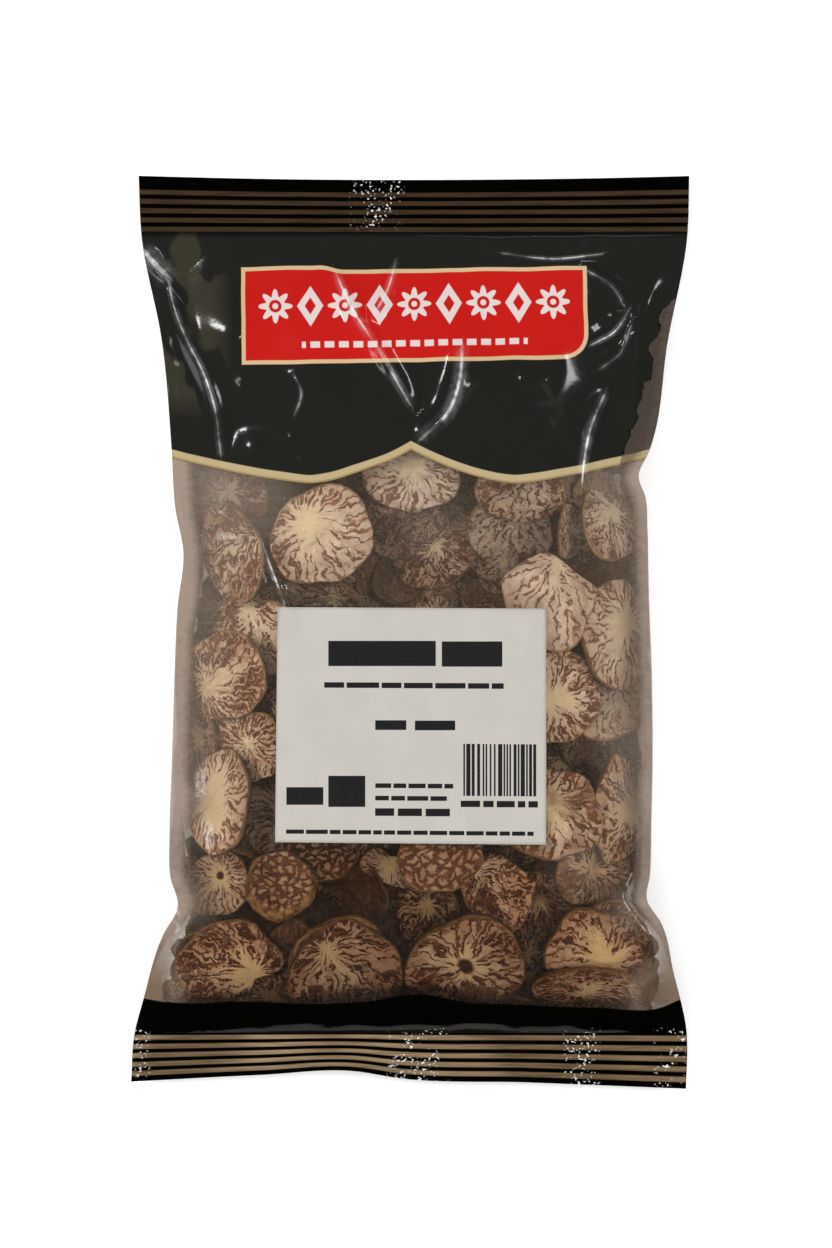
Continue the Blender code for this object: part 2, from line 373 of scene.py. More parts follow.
# The slices that show through the window, from the nearest to the film to the deepest
SHOWN_CHIPS = (
    Chip(-21.2, 23.1, 13.2, 10, 300, Cut.RADIAL, heart=(-0.25, 0.25), heart_size=0.30, tone=1.22),
    Chip(0.4, 38.6, 12.2, 14, 270, Cut.RADIAL, Shape.OVAL, heart=(0.05, 0.1), heart_size=0.14, tone=1.15),
    Chip(26.6, 34.6, 11.4, 30, 270, Cut.STREAKED, Shape.OVAL, heart=(0.2, 0.9), heart_size=0.0, tone=1.1),
    Chip(33.4, 7.8, 12.6, 8, 200, Cut.PALE, Shape.BROKEN, heart=(0.15, 0.75), heart_size=0.12, tone=1.12),
    Chip(-45.3, -40.6, 13.6, 25, 165, Cut.RADIAL, heart=(0.0, 0.27), heart_size=0.36, turn=80, aspect=0.66,
         tone=1.1),
    Chip(47.3, 25.4, 12.6, 42, 25, Cut.STREAKED, Shape.CURLED, heart=(0.35, 0.25), heart_size=0.22, turn=25),
    Chip(-43.6, 19.0, 12.8, 28, 190, Cut.MARBLED, Shape.CURLED, heart=(0.3, -0.9), turn=100, aspect=0.74,
         tone=0.95),
    Chip(48.6, -0.6, 14.2, 30, 0, Cut.RADIAL, heart=(0.18, -0.33), heart_size=0.26, turn=90, aspect=0.70),
    Chip(-43.4, -78.6, 13.2, 16, 268, Cut.MARBLED, Shape.NOTCHED, heart=(0.50, -0.30), heart_size=0.34,
         aspect=0.84),
    Chip(13.0, -79.4, 15.4, 36, 272, Cut.STREAKED, heart=(0.02, 0.0), heart_size=0.10, hollow=0.13),
    Chip(-15.6, -80.3, 15.0, 36, 275, Cut.STREAKED, Shape.CURLED, heart=(-0.30, 0.40), heart_size=0.12),
    Chip(-18.4, -77.8, 14.4, 36, 280, Cut.SKIN, tone=1.15),
    Chip(42.0, -84.6, 13.6, 38, 272, Cut.MARBLED, Shape.DISHED, heart=(0.0, -0.3), heart_size=0.1,
         aspect=0.48),
    Chip(44.0, -76.4, 13.2, 30, 285, Cut.STREAKED, Shape.OVAL, heart=(0.28, -0.12), heart_size=0.34),
    Chip(46.4, -74.0, 13.0, 30, 280, Cut.MARBLED, Shape.ROUND, heart_size=0.0, tone=0.95),
    Chip(-31.0, -60.4, 9.2, 26, 90, Cut.NET, Shape.CAP, heart=(3.0, 3.0), heart_size=0.0, tone=1.2),
    Chip(-46.0, -60.2, 9.8, 22, 200, Cut.PALE, heart=(0.1, 0.25), heart_size=0.10, hollow=0.10),
    Chip(23.9, 24.6, 10.6, 38, 270, Cut.RADIAL, Shape.DISHED, heart=(0.0, 0.8), heart_size=0.3, tone=1.35),
    Chip(-44.4, -10.6, 13.2, 24, 205, Cut.MARBLED, heart=(-0.35, -0.25), heart_size=0.24, tone=1.15),
    Chip(-36.6, -1.6, 11.4, 22, 215, Cut.STREAKED, Shape.OVAL, heart=(-0.15, 0.75), heart_size=0.30,
         tone=1.3),
    Chip(-50.4, -26.7, 11.2, 34, 190, Cut.MARBLED, Shape.DISHED, heart_size=0.0, turn=90, aspect=0.50,
         tone=1.2),
    Chip(34.2, -15.8, 12.4, 22, 10, Cut.STREAKED, heart=(-0.1, -0.05), heart_size=0.30),
    Chip(48.0, -17.8, 9.8, 24, 85, Cut.PALE, Shape.DISHED, heart=(0.1, 0.9), heart_size=0.10, tone=1.35),
    Chip(33.6, -43.6, 13.2, 16, 60, Cut.OLIVE, Shape.OVAL, heart=(0.0, 0.2), heart_size=0.26),
    Chip(49.6, -42.0, 14.4, 25, 350, Cut.STREAKED, Shape.BROKEN, heart=(-0.1, -0.38), heart_size=0.24,
         turn=90, aspect=0.60, tone=1.15),
    Chip(7.1, -52.8, 10.8, 14, 80, Cut.NET, heart=(3.0, 3.0), heart_size=0.0, tone=1.05),
    Chip(-20.9, -51.8, 9.4, 16, 110, Cut.NET, heart=(3.0, 3.0), heart_size=0.0, tone=1.05),
    Chip(-5.6, -56.2, 7.2, 24, 250, Cut.AMBER, Shape.SHARD, turn=-30, tone=1.1),
    Chip(21.0, -61.6, 10.4, 18, 60, Cut.MARBLED, Shape.BROKEN, heart=(-0.5, 0.5), heart_size=0.1, tone=1.2),
    Chip(4.3, -66.4, 10.0, 36, 200, Cut.MARBLED, Shape.CURLED, heart_size=0.0, turn=50),
    Chip(-15.6, -63.4, 11.0, 22, 250, Cut.SKIN, Shape.DISHED, turn=20, sunk=0.6),
    Chip(43.4, -56.6, 9.8, 20, 320, Cut.OLIVE, heart=(0.0, 0.0), heart_size=0.1, sunk=0.3),
    Chip(30.4, -64.8, 9.8, 25, 250, Cut.OLIVE, Shape.DISHED, heart_size=0.0, sunk=0.4),
    Chip(45.2, -25.6, 10.0, 26, 270, Cut.OLIVE, heart=(0.0, 0.8), heart_size=0.1, sunk=0.3),
    Chip(5.6, 19.6, 10.6, 18, 110, Cut.MARBLED, heart_size=0.0, sunk=0.3, tone=1.25),
    Chip(3.0, 9.0, 8.0, 8, 200, Cut.SKIN, Shape.DISHED, tone=1.15),
    Chip(16.4, 15.6, 9.6, 14, 220, Cut.MARBLED, Shape.OVAL, heart_size=0.0, sunk=0.2, tone=1.15),
    Chip(-4.6, 13.6, 8.8, 44, 330, Cut.SKIN, Shape.CURLED, sunk=0.3, tone=1.25),
    Chip(-18.4, 7.8, 10.0, 50, 250, Cut.STREAKED, Shape.CURLED, heart_size=0.1, sunk=0.4),
    Chip(-44.6, 32.6, 10.4, 18, 120, Cut.MARBLED, Shape.OVAL, heart_size=0.0, sunk=0.3),
    Chip(38.1, 23.8, 9.4, 60, 10, Cut.STREAKED, Shape.CURLED, heart_size=0.0, turn=10, sunk=0.2),
    Chip(37.4, 15.4, 9.8, 30, 320, Cut.SKIN, Shape.DISHED, sunk=0.6),
    Chip(-29.9, 9.2, 6.2, 30, 250, Cut.AMBER, Shape.SHARD, sunk=0.3),
    Chip(-41.8, 6.6, 7.2, 32, 210, Cut.STREAKED, Shape.HALF, heart_size=0.0, turn=30),
    Chip(-9.9, 32.9, 9.4, 20, 150, Cut.MARBLED, heart_size=0.0, sunk=0.6),
    Chip(44.4, 33.4, 5.8, 14, 330, Cut.SKIN, Shape.OVAL, sunk=0.2),
    Chip(-38.4, -27.3, 10.2, 30, 200, Cut.STREAKED, Shape.OVAL, heart_size=0.0, sunk=0.5, tone=1.2),
    Chip(-30.6, -22.6, 10.0, 50, 200, Cut.MARBLED, Shape.CURLED, heart_size=0.0, sunk=0.5, tone=1.2),
    Chip(-31.2, -43.9, 11.0, 24, 40, Cut.PALE, heart_size=0.1, sunk=0.4),
    Chip(-56.4, -83.4, 5.0, 18, 200, Cut.AMBER, Shape.SHARD, turn=60),
    Chip(-27.0, -74.6, 10.2, 42, 250, Cut.SKIN, Shape.CURLED, sunk=0.4),
    Chip(28.6, -77.2, 9.6, 24, 290, Cut.MARBLED, Shape.OVAL, heart_size=0.0, sunk=0.2, turn=80, aspect=0.7),
    Chip(50.4, -63.6, 6.6, 16, 330, Cut.MARBLED, Shape.OVAL, heart_size=0.0, sunk=0.4),
    Chip(-28.0, 38.6, 10.6, 20, 90, Cut.SKIN, Shape.OVAL, sunk=1.2),
    Chip(12.0, 31.0, 7.4, 14, 60, Cut.SKIN, Shape.DISHED, sunk=0.4),
    Chip(36.6, -31.6, 9.6, 26, 120, Cut.MARBLED, Shape.OVAL, heart_size=0.0, sunk=0.8),
    Chip(-44.8, 3.6, 6.2, 12, 180, Cut.STREAKED, Shape.OVAL, heart_size=0.0, sunk=0.2),
)


@dataclass(frozen=True)
class Layer:
    """One go at filling the pouch: from which side, with how many slices, of what radii, how squeezed."""

    from_front: bool
    count: int
    radii: tuple[float, float]
    squeeze: float = 1.2


@dataclass
class ChipStack:
    """Packs the slices, each against what already lies there, from the front or from the back.

    The slices that show come first, eased a little where they wouldn't fit. The rest are drawn at
    random over bare stretches and lie along what they touch, each the best of a few tries. Last, small
    ones close the gaps that would let light through.

    The margins keep slices off the pouch's sides and seal_gap off its seals. fill_line is how far up
    the pouch they reach, and window_end where the clear window ends. film_gap is how far the slices
    stay off the film, nesting how far one settles into the next, squeeze how far it may press into
    others, and steepest how far from its middle a steep slice still keeps others off. cover is how
    much of its radius a slice surely hides, and covers the same for the broken shapes.

    A drawn slice reads the slope that it lies on over feel to each side, up to slope_limit, varies it
    by slope_spread and lies about stray off a bare spot. To hide a bare usual_area counts as much as
    to lie bare_worth closer to the film. ceiling and floor are the heights that the next slice may
    reach, and highest and lowest those of the film.
    """

    form: PouchForm
    relief: Relief
    taut: Array
    left_margin: Points = (
        (95, 6), (40, 3.8), (30, 2.8), (19, 3.6), (8, 4.6), (2, 4), (-8, 1),
        (-27, 0.8), (-38, 3.4), (-50, 3.4), (-56, 1.6), (-64, 1.8), (-70, 3.8), (-75, 3),
        (-95, 4.4),
    )
    right_margin: Points = (
        (95, 6), (40, 5.5), (36, 5.5), (30, 1.8), (14, 2), (8, 0.8), (-18, 0.8),
        (-25, 2), (-32, 1.4), (-42, 0.4), (-50, 0.8), (-56, 2.8), (-60, 4.2), (-66, 2),
        (-76, 2.4), (-84, 4.4), (-95, 8),
    )
    seal_gap: float = 2.0
    film_gap: float = 0.35
    nesting: float = 1.1
    steepest: float = 2.8
    cover: float = 0.84
    covers: dict[Shape, float] = field(
        default_factory=lambda: {Shape.SHARD: 0.45, Shape.HALF: 0.40, Shape.BROKEN: 0.68, Shape.NOTCHED: 0.66}
    )
    layers: tuple[Layer, ...] = (
        Layer(True, 34, (10.5, 14.0)),
        Layer(False, 60, (10.5, 14.0)),
        Layer(True, 50, (7.0, 11.0)),
        Layer(False, 50, (7.0, 11.0)),
        Layer(True, 30, (6.0, 9.0), 3.0),
        Layer(False, 60, (6.0, 9.0), 3.0),
        Layer(True, 40, (5.0, 8.0), 6.0),
    )
    plug_radii: tuple[float, ...] = (7.5, 6.0, 4.8, 3.8, 3.0)
    tries: int = 24
    seed: int = 11
    bare_worth: float = 22.0
    usual_area: float = math.pi * 12.0**2
    feel: float = 5.0
    stray: float = 2.5
    slope_spread: float = 0.22
    slope_limit: float = 1.2
    squeeze: float = 2.0
    fill_line: float = 62.0
    window_end: float = 40.0
    chips: list[Chip] = field(default_factory=list)

    def __post_init__(self) -> None:
        """Starts with an empty pouch."""
        x, y = self.relief.x, self.relief.y
        left, right = self.form.edges(y)
        left, right = left + smooth_curve(self.left_margin, y), right - smooth_curve(self.right_margin, y)
        inside = (x > left) & (x < right)
        inside &= (y < self.form.header_root - self.seal_gap) & (y > self.form.foot_root + self.seal_gap)
        self.highest = np.where(inside, self.taut, FAR_BELOW)
        self.lowest = np.where(inside, self.form.back(x, y) + self.film_gap / 2, FAR_ABOVE)
        self.ceiling = self.highest - self.film_gap
        self.floor = self.lowest + self.film_gap / 2
        self.bare = {True: np.ones_like(x), False: np.ones_like(x)}
        self.bare_spots = {True: np.argwhere(inside), False: np.argwhere(inside)}

    def slab(self, chip: Chip) -> tuple[tuple[slice, slice], Array, Array, Array, float]:
        """The grid window that a slice covers.

        Returns:
            The window, which of its cells the slice reaches, which of them it surely hides, the slice's
            rise there above its middle, and half its upright thickness.
        """
        window = self.relief.window(chip.x, chip.y, chip.radius)
        dx, dy = self.relief.x[window] - chip.x, self.relief.y[window] - chip.y
        tilt, way = math.radians(chip.tilt), math.radians(chip.leans_to)
        rise = -(dx * math.cos(way) + dy * math.sin(way)) * math.tan(tilt)
        turned = np.array(chip.matrix())
        along = (dx * turned[0, 0] + dy * turned[1, 0] + rise * turned[2, 0]) / chip.radius
        across = (dx * turned[0, 1] + dy * turned[1, 1] + rise * turned[2, 1]) / (chip.radius * chip.aspect)
        reach = np.hypot(along, across)
        thick = CAP_HALF_THICKNESS if chip.shape is Shape.CAP else SLICE_HALF_THICKNESS
        cover = self.covers.get(chip.shape, self.cover)
        return window, reach <= 1, reach <= cover, rise, thick * chip.radius / math.cos(tilt)

    def fit(self, chip: Chip, from_front: bool, squeeze: float) -> tuple[float, bool]:
        """How a slice would lie when pushed against what is already there.

        Returns:
            The height of its middle, and whether it clears both faces of the film and presses no
            deeper into other slices than they give.
        """
        window, under, _, rise, half = self.slab(chip)
        if not under.any():
            return 0.0, False
        ceiling = float((self.ceiling[window] - rise - half)[under].min())
        floor = float((self.floor[window] - rise + half)[under].max())
        highest = float((self.highest[window] - rise - half)[under].min())
        lowest = float((self.lowest[window] - rise + half)[under].max())
        middle = ceiling - chip.sunk if from_front else floor
        room = middle - floor if from_front else ceiling - middle
        if math.isinf(squeeze):
            middle = min(max(middle, lowest), highest)
        return middle, room >= -squeeze and lowest <= middle <= highest

    def settle(self, chip: Chip, middle: float, from_front: bool) -> None:
        """Fixes a slice at a height, and closes the space that it takes."""
        chip.z = middle
        window, under, hidden, rise, half = self.slab(chip)
        if from_front:
            below = middle + np.maximum(rise - half, -self.steepest) + self.nesting
            ceiling = self.ceiling[window]
            self.ceiling[window] = np.where(under, np.minimum(ceiling, below), ceiling)
        else:
            above = middle + np.minimum(rise + half, self.steepest) - self.nesting
            floor = self.floor[window]
            self.floor[window] = np.where(under, np.maximum(floor, above), floor)
        self.bare[from_front][window][hidden] = 0.0
        self.chips.append(chip)

    def eased(self, chip: Chip) -> Chip | None:
        """The slice with the least change to its tilt, place or size that lets it fit, if any does."""
        inward = -math.copysign(1.0, chip.x)
        changes = sorted(
            (abs(tilt) / 8 + abs(lean) / 12 + nudge / 1.2 + (1 - size) * 14, tilt, lean, nudge, size)
            for tilt in (0, 5, -5, -10, -15, -20, -26, -32, -40, -50)
            for lean in (0, 15, -15)
            for nudge in (0.0, 1.2, 2.4)
            for size in (1.0, 0.95, 0.9, 0.85, 0.78)
        )
        for _, tilt, lean, nudge, size in changes:
            tried = replace(chip, x=chip.x + inward * nudge, radius=chip.radius * size,
                            tilt=abs(chip.tilt + tilt), leans_to=chip.leans_to + lean)
            if self.fit(tried, True, self.squeeze)[1]:
                return tried
        return None

    def pack_shown(self) -> None:
        """Packs the slices that show."""
        for chip in SHOWN_CHIPS:
            eased = self.eased(chip)
            if eased is None:
                log.info("no room for the slice at %.0f, %.0f", chip.x, chip.y)
            else:
                self.settle(eased, self.fit(eased, True, self.squeeze)[0], True)

    def drawn(self, rng: np.random.Generator, layer: Layer) -> Chip:
        """A slice drawn at random, anywhere in the pouch, that lies along what it will touch."""
        spots = self.bare_spots[layer.from_front]
        j, i = spots[rng.integers(len(spots))]
        x, y = (float(place[j, i] + rng.normal(0, self.stray)) for place in (self.relief.x, self.relief.y))
        surface = self.ceiling if layer.from_front else self.floor
        ahead, behind, over, under = (
            self.relief.read(surface, x + across * self.feel, y + along * self.feel)
            for across, along in ((1, 0), (-1, 0), (0, 1), (0, -1))
        )
        slope = np.array([ahead - behind, over - under]) / (2 * self.feel)
        slope = np.clip(slope, -self.slope_limit, self.slope_limit)
        slope += rng.normal(0, self.slope_spread, 2)
        cuts = (Cut.RADIAL, Cut.MARBLED, Cut.NET, Cut.SKIN, Cut.STREAKED, Cut.PALE, Cut.OLIVE)
        shapes = (Shape.ROUND, Shape.OVAL, Shape.CURLED, Shape.DISHED, Shape.BROKEN, Shape.HALF)
        spin = rng.uniform(0, 2 * math.pi)
        offset = rng.uniform(0, 0.4)
        radius = float(rng.uniform(*layer.radii))
        return Chip(
            x=x,
            y=y,
            radius=radius,
            tilt=math.degrees(math.atan(float(np.hypot(*slope)))),
            leans_to=math.degrees(math.atan2(-slope[1], -slope[0])),
            cut=cuts[rng.choice(len(cuts), p=(0.10, 0.15, 0.05, 0.40, 0.18, 0.04, 0.08))],
            shape=shapes[rng.choice(len(shapes), p=(0.28, 0.22, 0.18, 0.16, 0.1, 0.06))],
            heart=(offset * math.cos(spin), offset * math.sin(spin)),
            heart_size=float(rng.uniform(0.0, 0.32)),
            turn=float(rng.uniform(0, 360)),
            aspect=float(rng.uniform(0.75, 1.0)),
        )

    def worth(self, chip: Chip, middle: float, from_front: bool) -> float:
        """How well a drawn slice would fill the pouch: it hides a bare stretch and lies near the film."""
        window, _, hidden, _, _ = self.slab(chip)
        newly = float(self.bare[from_front][window][hidden].sum()) * self.relief.step**2 / self.usual_area
        depth = float(self.relief.read(self.taut, chip.x, chip.y)) - middle if from_front else middle
        return self.bare_worth * newly - depth

    def pack_rest(self) -> None:
        """Packs the remaining slices, layer by layer."""
        rng = np.random.default_rng(self.seed)
        in_view = (self.relief.y < self.fill_line) & (self.ceiling > FAR_BELOW)
        for layer in self.layers:
            for _ in range(layer.count):
                self.bare_spots[layer.from_front] = np.argwhere(in_view & (self.bare[layer.from_front] > 0))
                best, best_worth = None, -math.inf
                for _ in range(self.tries):
                    chip = self.drawn(rng, layer)
                    middle, fits = self.fit(chip, layer.from_front, layer.squeeze)
                    worth = self.worth(chip, middle, layer.from_front) if fits else -math.inf
                    if worth > best_worth:
                        best, best_worth = (chip, middle), worth
                if best is not None:
                    self.settle(*best, layer.from_front)
            log.info("%d slices, front bare %.1f%%", len(self.chips), 100 * self.bare_share(True))
        self.close_gaps(rng, in_view)
        log.info("%d slices, with the gaps closed", len(self.chips))

    def close_gaps(self, rng: np.random.Generator, in_view: Array) -> None:
        """Sets a slice over each spot that is bare from both sides, as large a one as fits."""
        open_spots = np.argwhere(in_view & (self.bare[True] > 0) & (self.bare[False] > 0))
        for j, i in rng.permutation(open_spots):
            for radius in self.plug_radii:
                if not self.bare[True][j, i]:
                    break
                plug = Chip(
                    x=float(self.relief.x[j, i]),
                    y=float(self.relief.y[j, i]),
                    radius=radius,
                    tilt=float(rng.uniform(0, 22)),
                    leans_to=float(rng.uniform(0, 360)),
                    cut=(Cut.SKIN, Cut.STREAKED, Cut.MARBLED)[rng.integers(3)],
                    shape=(Shape.CURLED, Shape.OVAL, Shape.DISHED)[rng.integers(3)],
                    heart=(0.3, 0.6),
                    heart_size=0.0,
                    turn=float(rng.uniform(0, 360)),
                )
                middle, fits = self.fit(plug, True, math.inf)
                if fits:
                    self.settle(plug, middle, True)

    def bare_share(self, from_front: bool) -> float:
        """The share of the window's area that no slice lies under, seen from one side."""
        window = (self.relief.y < self.window_end) & (self.ceiling > FAR_BELOW)
        return float(self.bare[from_front][window].mean())


@dataclass(frozen=True)
class ChipCutter:
    """Makes the mesh that stands for each Shape: a slice of unit radius.

    Each vertex keeps where it is on the cut as "cut", with a third part that runs from 1 on the upper
    face to -1 on the lower one, and "rim", which is 1 on the nut's outer skin and 0 on the faces.
    """

    segments: int = 36
    face_rows: tuple[float, ...] = (0.28, 0.56, 0.80, 0.95)
    notch_at: float = 5.6
    seed: int = 5

    def profile(self, shape: Shape) -> list[tuple[float, float, float, float]]:
        """The (radius, height, side, rim) rows from the upper middle to the lower one."""
        h = SLICE_HALF_THICKNESS
        upper = [(rho, 1.0, 1.0, 0.0) for rho in self.face_rows]
        if shape is Shape.CAP:
            high = CAP_HALF_THICKNESS
            bulge = [(0.80, high, 1.0, 0.0), (0.90, 0.20, 0.6, 1.0), (1.0, 0.02, 0.3, 1.0)]
            bulge += [(0.96, -0.16, 0.0, 1.0), (0.78, -0.28, -0.5, 1.0), (0.45, -0.34, -1.0, 1.0)]
            return [(rho * 0.8, high, 1.0, 0.0) for rho in self.face_rows] + bulge
        rows = [(rho, h * one, side, rim) for rho, one, side, rim in upper]
        rows += [(0.99, 0.82 * h, 0.9, 0.7), (1.0, 0.35 * h, 0.4, 1.0)]
        rows += [(r, -z, -side, rim) for r, z, side, rim in reversed(rows)]
        return rows

    def outline(self, shape: Shape, angle: Array) -> Array:
        """How far out the outline is at each angle, in radii."""
        rng = np.random.default_rng(self.seed + shape.value)
        out = np.ones_like(angle)
        for k in range(2, 8):
            out += rng.uniform(0.3, 1) * 0.16 / k * np.cos(k * angle + rng.uniform(0, 2 * math.pi))
        out += 0.006 * rng.standard_normal(len(angle))
        if shape is Shape.OVAL:
            out *= 1 - 0.12 * np.sin(angle) ** 2
        if shape is Shape.SHARD:
            out *= 1 - 0.45 * np.sin(angle) ** 2 + 0.06 * np.cos(5 * angle)
        if shape is Shape.NOTCHED:
            off_notch = (angle - self.notch_at + math.pi) % (2 * math.pi) - math.pi
            out *= 1 - 0.30 * np.exp(-((off_notch / 0.34) ** 2))
        return 1.03 * out / out.max()

    def bent(self, shape: Shape, x: Array, y: Array) -> Array:
        """How far drying has lifted each point of the slice."""
        rng = np.random.default_rng(self.seed + 40 + shape.value)
        r2 = x**2 + y**2
        bowl = {Shape.CURLED: 0.08, Shape.DISHED: 0.17, Shape.SHARD: 0.2, Shape.OVAL: -0.09}.get(shape, 0.04)
        saddle = {Shape.CURLED: 0.13, Shape.OVAL: 0.05, Shape.HALF: 0.08}.get(shape, 0.03)
        lift = bowl * (r2 - 0.5) + saddle * (x**2 - y**2) * np.sqrt(r2)
        spin = rng.uniform(0, 2 * math.pi, 2)
        return lift + 0.010 * np.sin(5 * x + spin[0]) + 0.008 * np.sin(6 * y + spin[1])

    def breaks(self, shape: Shape) -> tuple[tuple[float, float], ...]:
        """The straight broken edges, as (direction in degrees, distance in radii)."""
        return {
            Shape.BROKEN: ((55.0, 0.72), (-20.0, 0.80), (120.0, 0.86)),
            Shape.HALF: ((90.0, 0.15),),
            Shape.CURLED: ((150.0, 0.86),),
            Shape.OVAL: ((-70.0, 0.80),),
            Shape.ROUND: ((10.0, 0.92), (200.0, 0.94)),
        }.get(shape, ())

    def build(self, shape: Shape) -> tuple[Array, list[list[int]], Array, Array]:
        """The mesh of one shape.

        Returns:
            The vertices, the faces, the "cut" vectors and the "rim" values.
        """
        angle = np.linspace(0, 2 * math.pi, self.segments, endpoint=False)
        out = self.outline(shape, angle)
        points, sides, rims = [], [], []
        rows = self.profile(shape)
        for rho, height, side, rim in rows:
            x, y = rho * out * np.cos(angle), rho * out * np.sin(angle)
            points.append(np.column_stack([x, y, np.full(self.segments, height)]))
            sides += [side] * self.segments
            rims += [rim] * self.segments
        points.append([[0, 0, rows[0][1]], [0, 0, rows[-1][1] - (0.02 if shape is Shape.CAP else 0)]])
        sides += [1.0, -1.0]
        rims += [0.0, rows[-1][3]]
        points = np.vstack(points)
        for direction, distance in self.breaks(shape):
            way = np.array([math.cos(math.radians(direction)), math.sin(math.radians(direction))])
            past = points[:, :2] @ way - distance
            jagged = 0.02 * np.sin(17 * (points[:, :2] @ way[::-1]))
            points[:, :2] -= np.where(past > 0, past * 0.94 + jagged, 0)[:, None] * way
        points[:, 2] += self.bent(shape, points[:, 0], points[:, 1])
        n, count = self.segments, len(rows)
        faces = [
            [k * n + i, (k + 1) * n + i, (k + 1) * n + (i + 1) % n, k * n + (i + 1) % n]
            for k in range(count - 1)
            for i in range(n)
        ]
        top, bottom = count * n, count * n + 1
        faces += [[top, i, (i + 1) % n] for i in range(n)]
        last = (count - 1) * n
        faces += [[bottom, last + (i + 1) % n, last + i] for i in range(n)]
        cut = np.column_stack([points[:, :2], sides])
        return points, faces, cut, np.array(rims)


# Node trees


def arithmetic(operation: str, swapped: bool = False) -> Callable[..., "Value"]:
    """Makes a method of Value that adds one Math node, with the two sides swapped if asked."""

    def method(self: "Value", other: Any = None) -> "Value":
        """Adds the node."""
        return self.sketch.math(operation, *((other, self) if swapped else (self, other)))

    return method


class Value:
    """A number in a material's node tree that plain arithmetic works on.

    The larger of two numbers, written |, joins masks, and the smaller, written &, crosses them.
    """

    def __init__(self, sketch: "MaterialSketch", socket: Socket) -> None:
        """Holds the output socket that carries the number."""
        self.sketch = sketch
        self.socket = socket

    __add__ = __radd__ = arithmetic("ADD")
    __sub__ = arithmetic("SUBTRACT")
    __rsub__ = arithmetic("SUBTRACT", swapped=True)
    __mul__ = __rmul__ = arithmetic("MULTIPLY")
    __truediv__ = arithmetic("DIVIDE")
    __pow__ = arithmetic("POWER")
    __or__ = arithmetic("MAXIMUM")
    __and__ = arithmetic("MINIMUM")
    __abs__ = arithmetic("ABSOLUTE")

    def above(self, edge: Any, soft: float) -> "Value":
        """A mask that is 1 where this is above an edge, over a soft border."""
        return self.sketch.math("MULTIPLY_ADD", self - edge, 1 / soft, 0.5, clamp=True)

    def below(self, edge: Any, soft: float) -> "Value":
        """A mask that is 1 where this is below an edge, over a soft border."""
        return self.sketch.math("MULTIPLY_ADD", self - edge, -1 / soft, 0.5, clamp=True)

    def step(self, low: float, high: float, to_low: float = 0.0, to_high: float = 1.0) -> "Value":
        """An even S from to_low to to_high as this goes from low to high."""
        return self.sketch.map_range(self, low, high, to_low, to_high)


class NodeSketch:
    """Adds nodes to a tree in short calls."""

    def __init__(self, tree: bpy.types.NodeTree) -> None:
        """Holds the tree."""
        self.tree = tree

    def node(self, kind: str, inputs: dict[Any, Any] | None = None, **settings: Any) -> bpy.types.Node:
        """Adds a node, sets its properties, and links or sets the inputs given by name or number."""
        made = self.tree.nodes.new(kind)
        for key, value in settings.items():
            setattr(made, key, value)
        for key, value in (inputs or {}).items():
            source = value.socket if isinstance(value, Value) else value
            if isinstance(source, Socket):
                self.tree.links.new(source, made.inputs[key])
            else:
                made.inputs[key].default_value = source
        return made

    def vector(self, x: Any, y: Any, z: Any = 0.0) -> Socket:
        """A vector of three numbers."""
        return self.node("ShaderNodeCombineXYZ", {0: x, 1: y, 2: z}).outputs[0]


